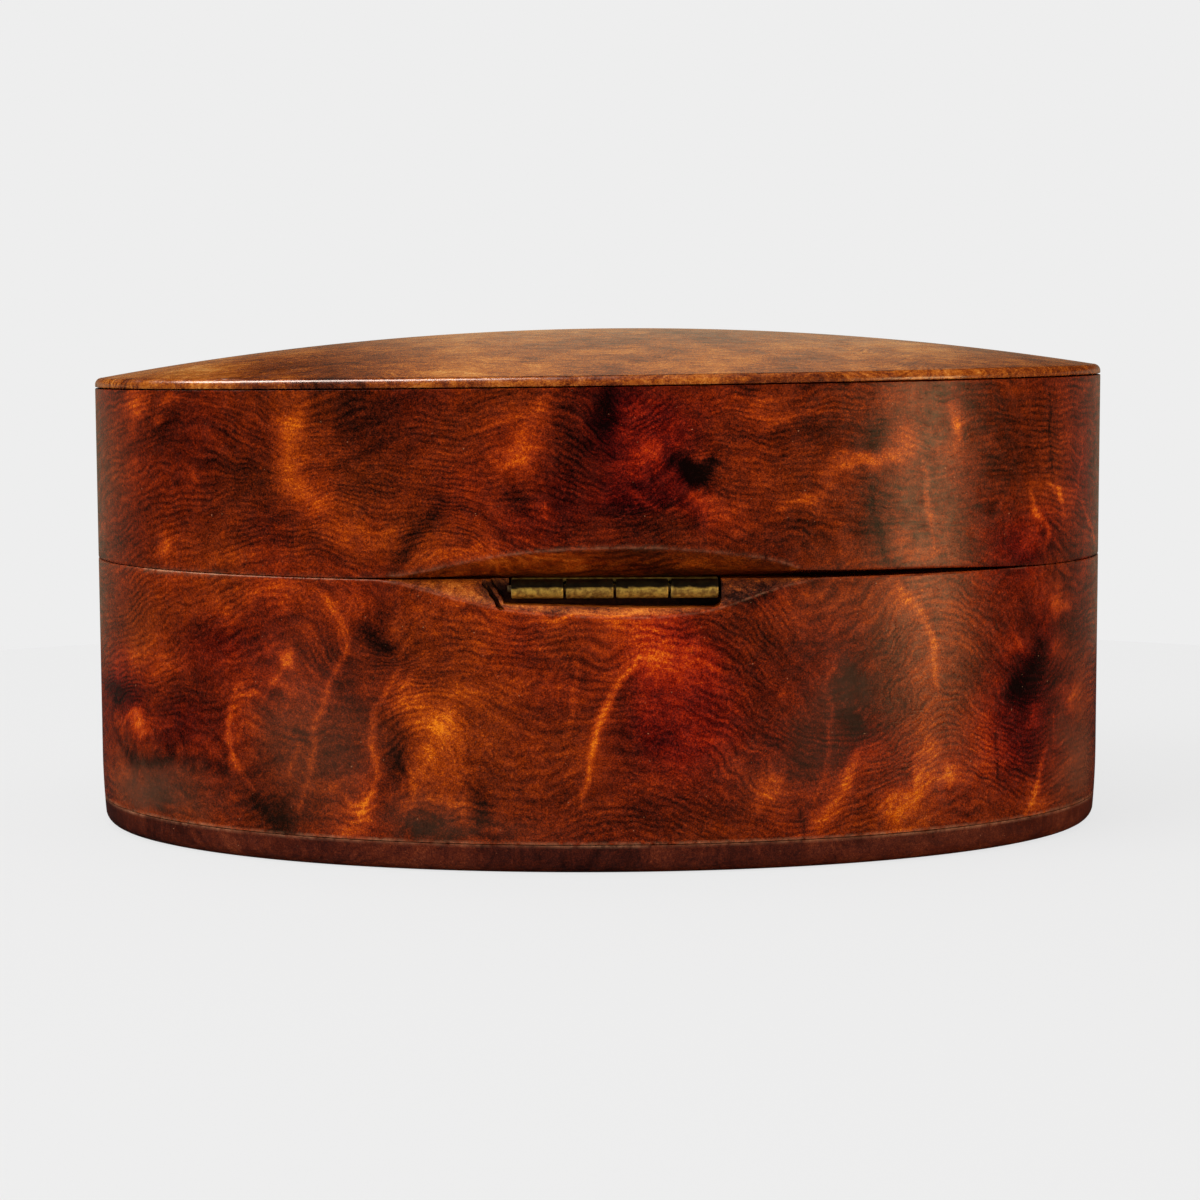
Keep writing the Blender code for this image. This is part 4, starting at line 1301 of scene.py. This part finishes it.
# The pin, with a slightly domed stub at its open end
def pinPiece():
    r = hinge["pinRadius"]
    low, high = pinLow.x, pinHigh.x
    rings = [(low, 0.00001), (low, r * 0.8), (low + 0.00006, r), (high - 0.00016, r),
             (high - 0.00006, r * 0.88), (high - 0.00001, r * 0.6), (high, 0.00001)]
    mesh = turnedMesh("hingePin", rings, hinge["pinSides"], lambda x, y, z: (x, axisY + y, axisZ + z))
    mesh.materials.append(pinSteel)
    for name in ("wearAndHighlight", "paintedShade"):
        setField(mesh, name, np.zeros(len(mesh.vertices)))
    smoothUpTo(mesh, 50)
    return addPiece("hingePin", mesh)


hingePin = pinPiece()


# Slotted countersunk screws
screws = {
    "sides": 28,
    "headRadius": 0.00085,
    "shankRadius": 0.00042,
    "threadRadius": 0.00045,
    "length": 0.0050,
    "point": 0.0009,
    "threadPitch": 0.00042,
    "slot": 0.00022,
    "slotDepth": 0.00017,
}


def screwMesh(name, down, seed):
    s = screws
    rings = [(0.0, 0.00001), (0.0, s["headRadius"] * 0.93), (-0.00004, s["headRadius"]),
             (-0.00028, s["shankRadius"] + 0.0001), (-0.0004, s["shankRadius"])]
    z = -0.0006
    while z > -s["length"] + s["point"]:
        rings += [(z, s["shankRadius"] * 0.8), (z - s["threadPitch"] * 0.3, s["threadRadius"])]
        z -= s["threadPitch"]
    rings += [(-s["length"] + s["point"] * 0.45, s["shankRadius"] * 0.5), (-s["length"], 0.00001)]
    thing = addPiece(name, turnedMesh(name, rings, s["sides"], lambda along, x, y: (x, y, along)))
    groove = blockMesh(name + "Slot", (-0.002, -s["slot"] / 2, -s["slotDepth"]), (0.002, s["slot"] / 2, 0.001))
    groove.transform(Matrix.Rotation(0.6 + seed, 4, "Z"))
    cutAway(thing, [groove])
    mesh = thing.data.copy()
    bpy.data.objects.remove(thing, do_unlink=True)
    if not down:
        mesh.transform(Matrix.Rotation(math.pi, 4, "X"))
    return mesh


def screwPiece(name, faceZ, down, seed):
    spacing = hinge["screwX"][0] - hinge["screwX"][1]
    piece = repeat(name, screwMesh(name + "One", down, seed), 2, spacing,
                   (hinge["screwX"][1], hinge["screwY"], faceZ), screwBrass)
    mesh = piece.data
    mesh.materials.clear()
    mesh.materials.append(screwBrass)
    p = getPoints(mesh)
    deep = np.abs(p[:, 2] - faceZ)
    setField(mesh, "wearAndHighlight", np.where(deep < 0.00005, 0.25, 0))
    # painted shade, darker the further below the head's face, in the slots
    setField(mesh, "paintedShade", np.clip((deep - 0.0001) / 0.0001, 0, 0.7))
    smoothUpTo(mesh, 35)
    return piece


baseScrews = screwPiece("baseScrews", hinge["baseLeafZ"] + hinge["leafThickness"], True, 0.0)
lidScrews = screwPiece("lidScrews", hinge["lidLeafZ"], False, 0.9)
print("hinge ready")


# Finish of the wood meshes
for thing in (baseWall, lidWall, lidTop, bottomPlate):
    smoothUpTo(thing.data, 38)

for piece, body, slotName, nodes in (
        (baseWall, "base", "burl_wood_base", ["base_wall"]),
        (bottomPlate, "base", "bottom_plate_wood", ["bottom_plate"]),
        (lidWall, "lid", "burl_wood", ["lid_wall"]),
        (lidTop, "lid", "top_plate_wood", ["lid_top"]),
        (baseHinge, "base", "aged_brass", ["hinge_base_leaf"]),
        (lidHinge, "lid", "aged_brass_lid_leaf", ["hinge_lid_leaf"]),
        (hingePin, "base", "hinge_pin_steel", ["hinge_pin"]),
        (baseScrews, "base", "screw_brass", ["base_screw_1", "base_screw_2"]),
        (lidScrews, "lid", "screw_brass", ["lid_screw_1", "lid_screw_2"])):
    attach(piece, body)
    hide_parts(*nodes)


# Floor, world and lights
studio = {
    "background": 0.855,                # what the camera sees, linear
    "floorColor": 0.56,
    "floorInGloss": 0.03,               # the floor in reflections is the dim side of the room
    "floorRadius": 0.21,
    "ambient": 0.66,                    # light from all round on the object
    "darkRoom": 0.012,                  # in reflections, towards the camera
    "paleRoom": 0.41,                   # in reflections, behind the object
    "horizon": 0.29,                    # and low down to both sides of that
    "roomTint": (1.0, 0.85, 0.57),
}


def makeFloor():
    work = bmesh.new()
    bmesh.ops.create_circle(work, cap_ends=True, segments=96, radius=studio["floorRadius"])
    mesh = bpy.data.meshes.new("floor")
    work.to_mesh(mesh)
    work.free()
    floor = addPiece("floor", mesh)
    material, tree, shader = newMaterial("paleFloor")
    tree.nodes.remove(shader)
    seen = addNode(tree, "ShaderNodeLightPath")
    shown = addNode(tree, "ShaderNodeMix", {0: seen.outputs["Is Glossy Ray"], 2: studio["floorColor"],
                                            3: studio["floorInGloss"]}, data_type="FLOAT").outputs[0]
    plain = addNode(tree, "ShaderNodeBsdfDiffuse", {"Color": shown})
    glow = addNode(tree, "ShaderNodeEmission", {"Color": (studio["background"],) * 3 + (1,), "Strength": 1.0})
    share = calc(tree, "MULTIPLY", seen.outputs["Is Camera Ray"], 0.86)
    both = addNode(tree, "ShaderNodeMixShader", {0: share, 1: plain.outputs[0], 2: glow.outputs[0]})
    put(tree, tree.nodes["Material Output"].inputs[0], both.outputs[0])
    mesh.materials.append(material)


def makeWorld():
    world = bpy.data.worlds.new("studio")
    bpy.context.scene.world = world
    world.use_nodes = True
    world.cycles.sampling_method = "NONE"       # its light is even
    tree = world.node_tree
    seen = addNode(tree, "ShaderNodeLightPath")
    # pale to the camera; a dimmer room of the same colour in reflections, even light on the object
    reflected = calc(tree, "MAXIMUM", seen.outputs["Is Glossy Ray"], seen.outputs["Is Transmission Ray"])
    strength = addNode(tree, "ShaderNodeMix", {0: seen.outputs["Is Camera Ray"], 2: studio["ambient"],
                                               3: studio["background"]}, data_type="FLOAT").outputs[0]
    heading = addNode(tree, "ShaderNodeTexCoord").outputs["Generated"]
    toward = addNode(tree, "ShaderNodeSeparateXYZ", {0: heading})

    def fade(value, low, high):
        node = addNode(tree, "ShaderNodeMapRange", {0: value, 1: low, 2: high}, interpolation_type="SMOOTHSTEP")
        return node.outputs[0]

    behind = fade(toward.outputs[1], -0.05, -0.6)
    level = fade(calc(tree, "ABSOLUTE", toward.outputs[2]), 0.22, 0.06)
    across = calc(tree, "MULTIPLY", fade(toward.outputs[0], 0.15, 0.03), fade(toward.outputs[0], -0.22, -0.10))
    bright = calc(tree, "MAXIMUM", calc(tree, "MULTIPLY", across, studio["paleRoom"]),
                  calc(tree, "MULTIPLY", level, studio["horizon"]))
    room = calc(tree, "MULTIPLY_ADD", behind, bright, studio["darkRoom"])
    shown = addNode(tree, "ShaderNodeMix", {0: reflected, 2: strength, 3: room}, data_type="FLOAT")
    put(tree, tree.nodes["Background"].inputs["Strength"], shown.outputs[0])
    tint = mixColor(tree, reflected, (1, 1, 1, 1), (*studio["roomTint"], 1))
    put(tree, tree.nodes["Background"].inputs["Color"], tint)


def addLamp(name, place, target, size, sizeY, power, glossy, along=None):
    lamp = bpy.data.lights.new(name, "AREA")
    lamp.shape = "RECTANGLE"
    lamp.size, lamp.size_y = size, sizeY
    lamp.energy = power
    thing = bpy.data.objects.new(name, lamp)
    bpy.context.scene.collection.objects.link(thing)
    thing.location = place
    aim = Vector(target) - Vector(place)
    thing.rotation_euler = aim.to_track_quat("-Z", "Y").to_euler()
    if along:                           # the way its long side lies
        back = -aim.normalized()
        side = (Vector(along) - back * back.dot(Vector(along))).normalized()
        thing.rotation_euler = Matrix((side, back.cross(side), back)).transposed().to_euler()
    thing.visible_glossy = glossy
    thing.visible_camera = False
    return thing


makeFloor()
makeWorld()
addLamp("overheadSoft", (0.1, 0.2, 0.9), (0, 0, 0.03), 0.9, 0.9, 5.0, False)
window = addLamp("sideWindow", (-0.66, 0.40, -0.06), (-0.04, 0.02, 0.03), 0.22, 0.4, 2.85, True)
window.data.color = (1.0, 0.66, 0.32)
addLamp("leftKey", (0.56, 0.40, 0.62), (0, 0, 0.05), 0.6, 0.4, 4.5, False)
strip = addLamp("edgeLight", (0.48, -0.05, 0.85), (0, 0, 0.05), 0.75, 0.32, 17.0, True, along=(-0.6, 0.3, 0.4))
strip.data.color = (1.0, 0.86, 0.76)
strip.visible_diffuse = False           # only the white light along the top plate's edge
print("stage ready")
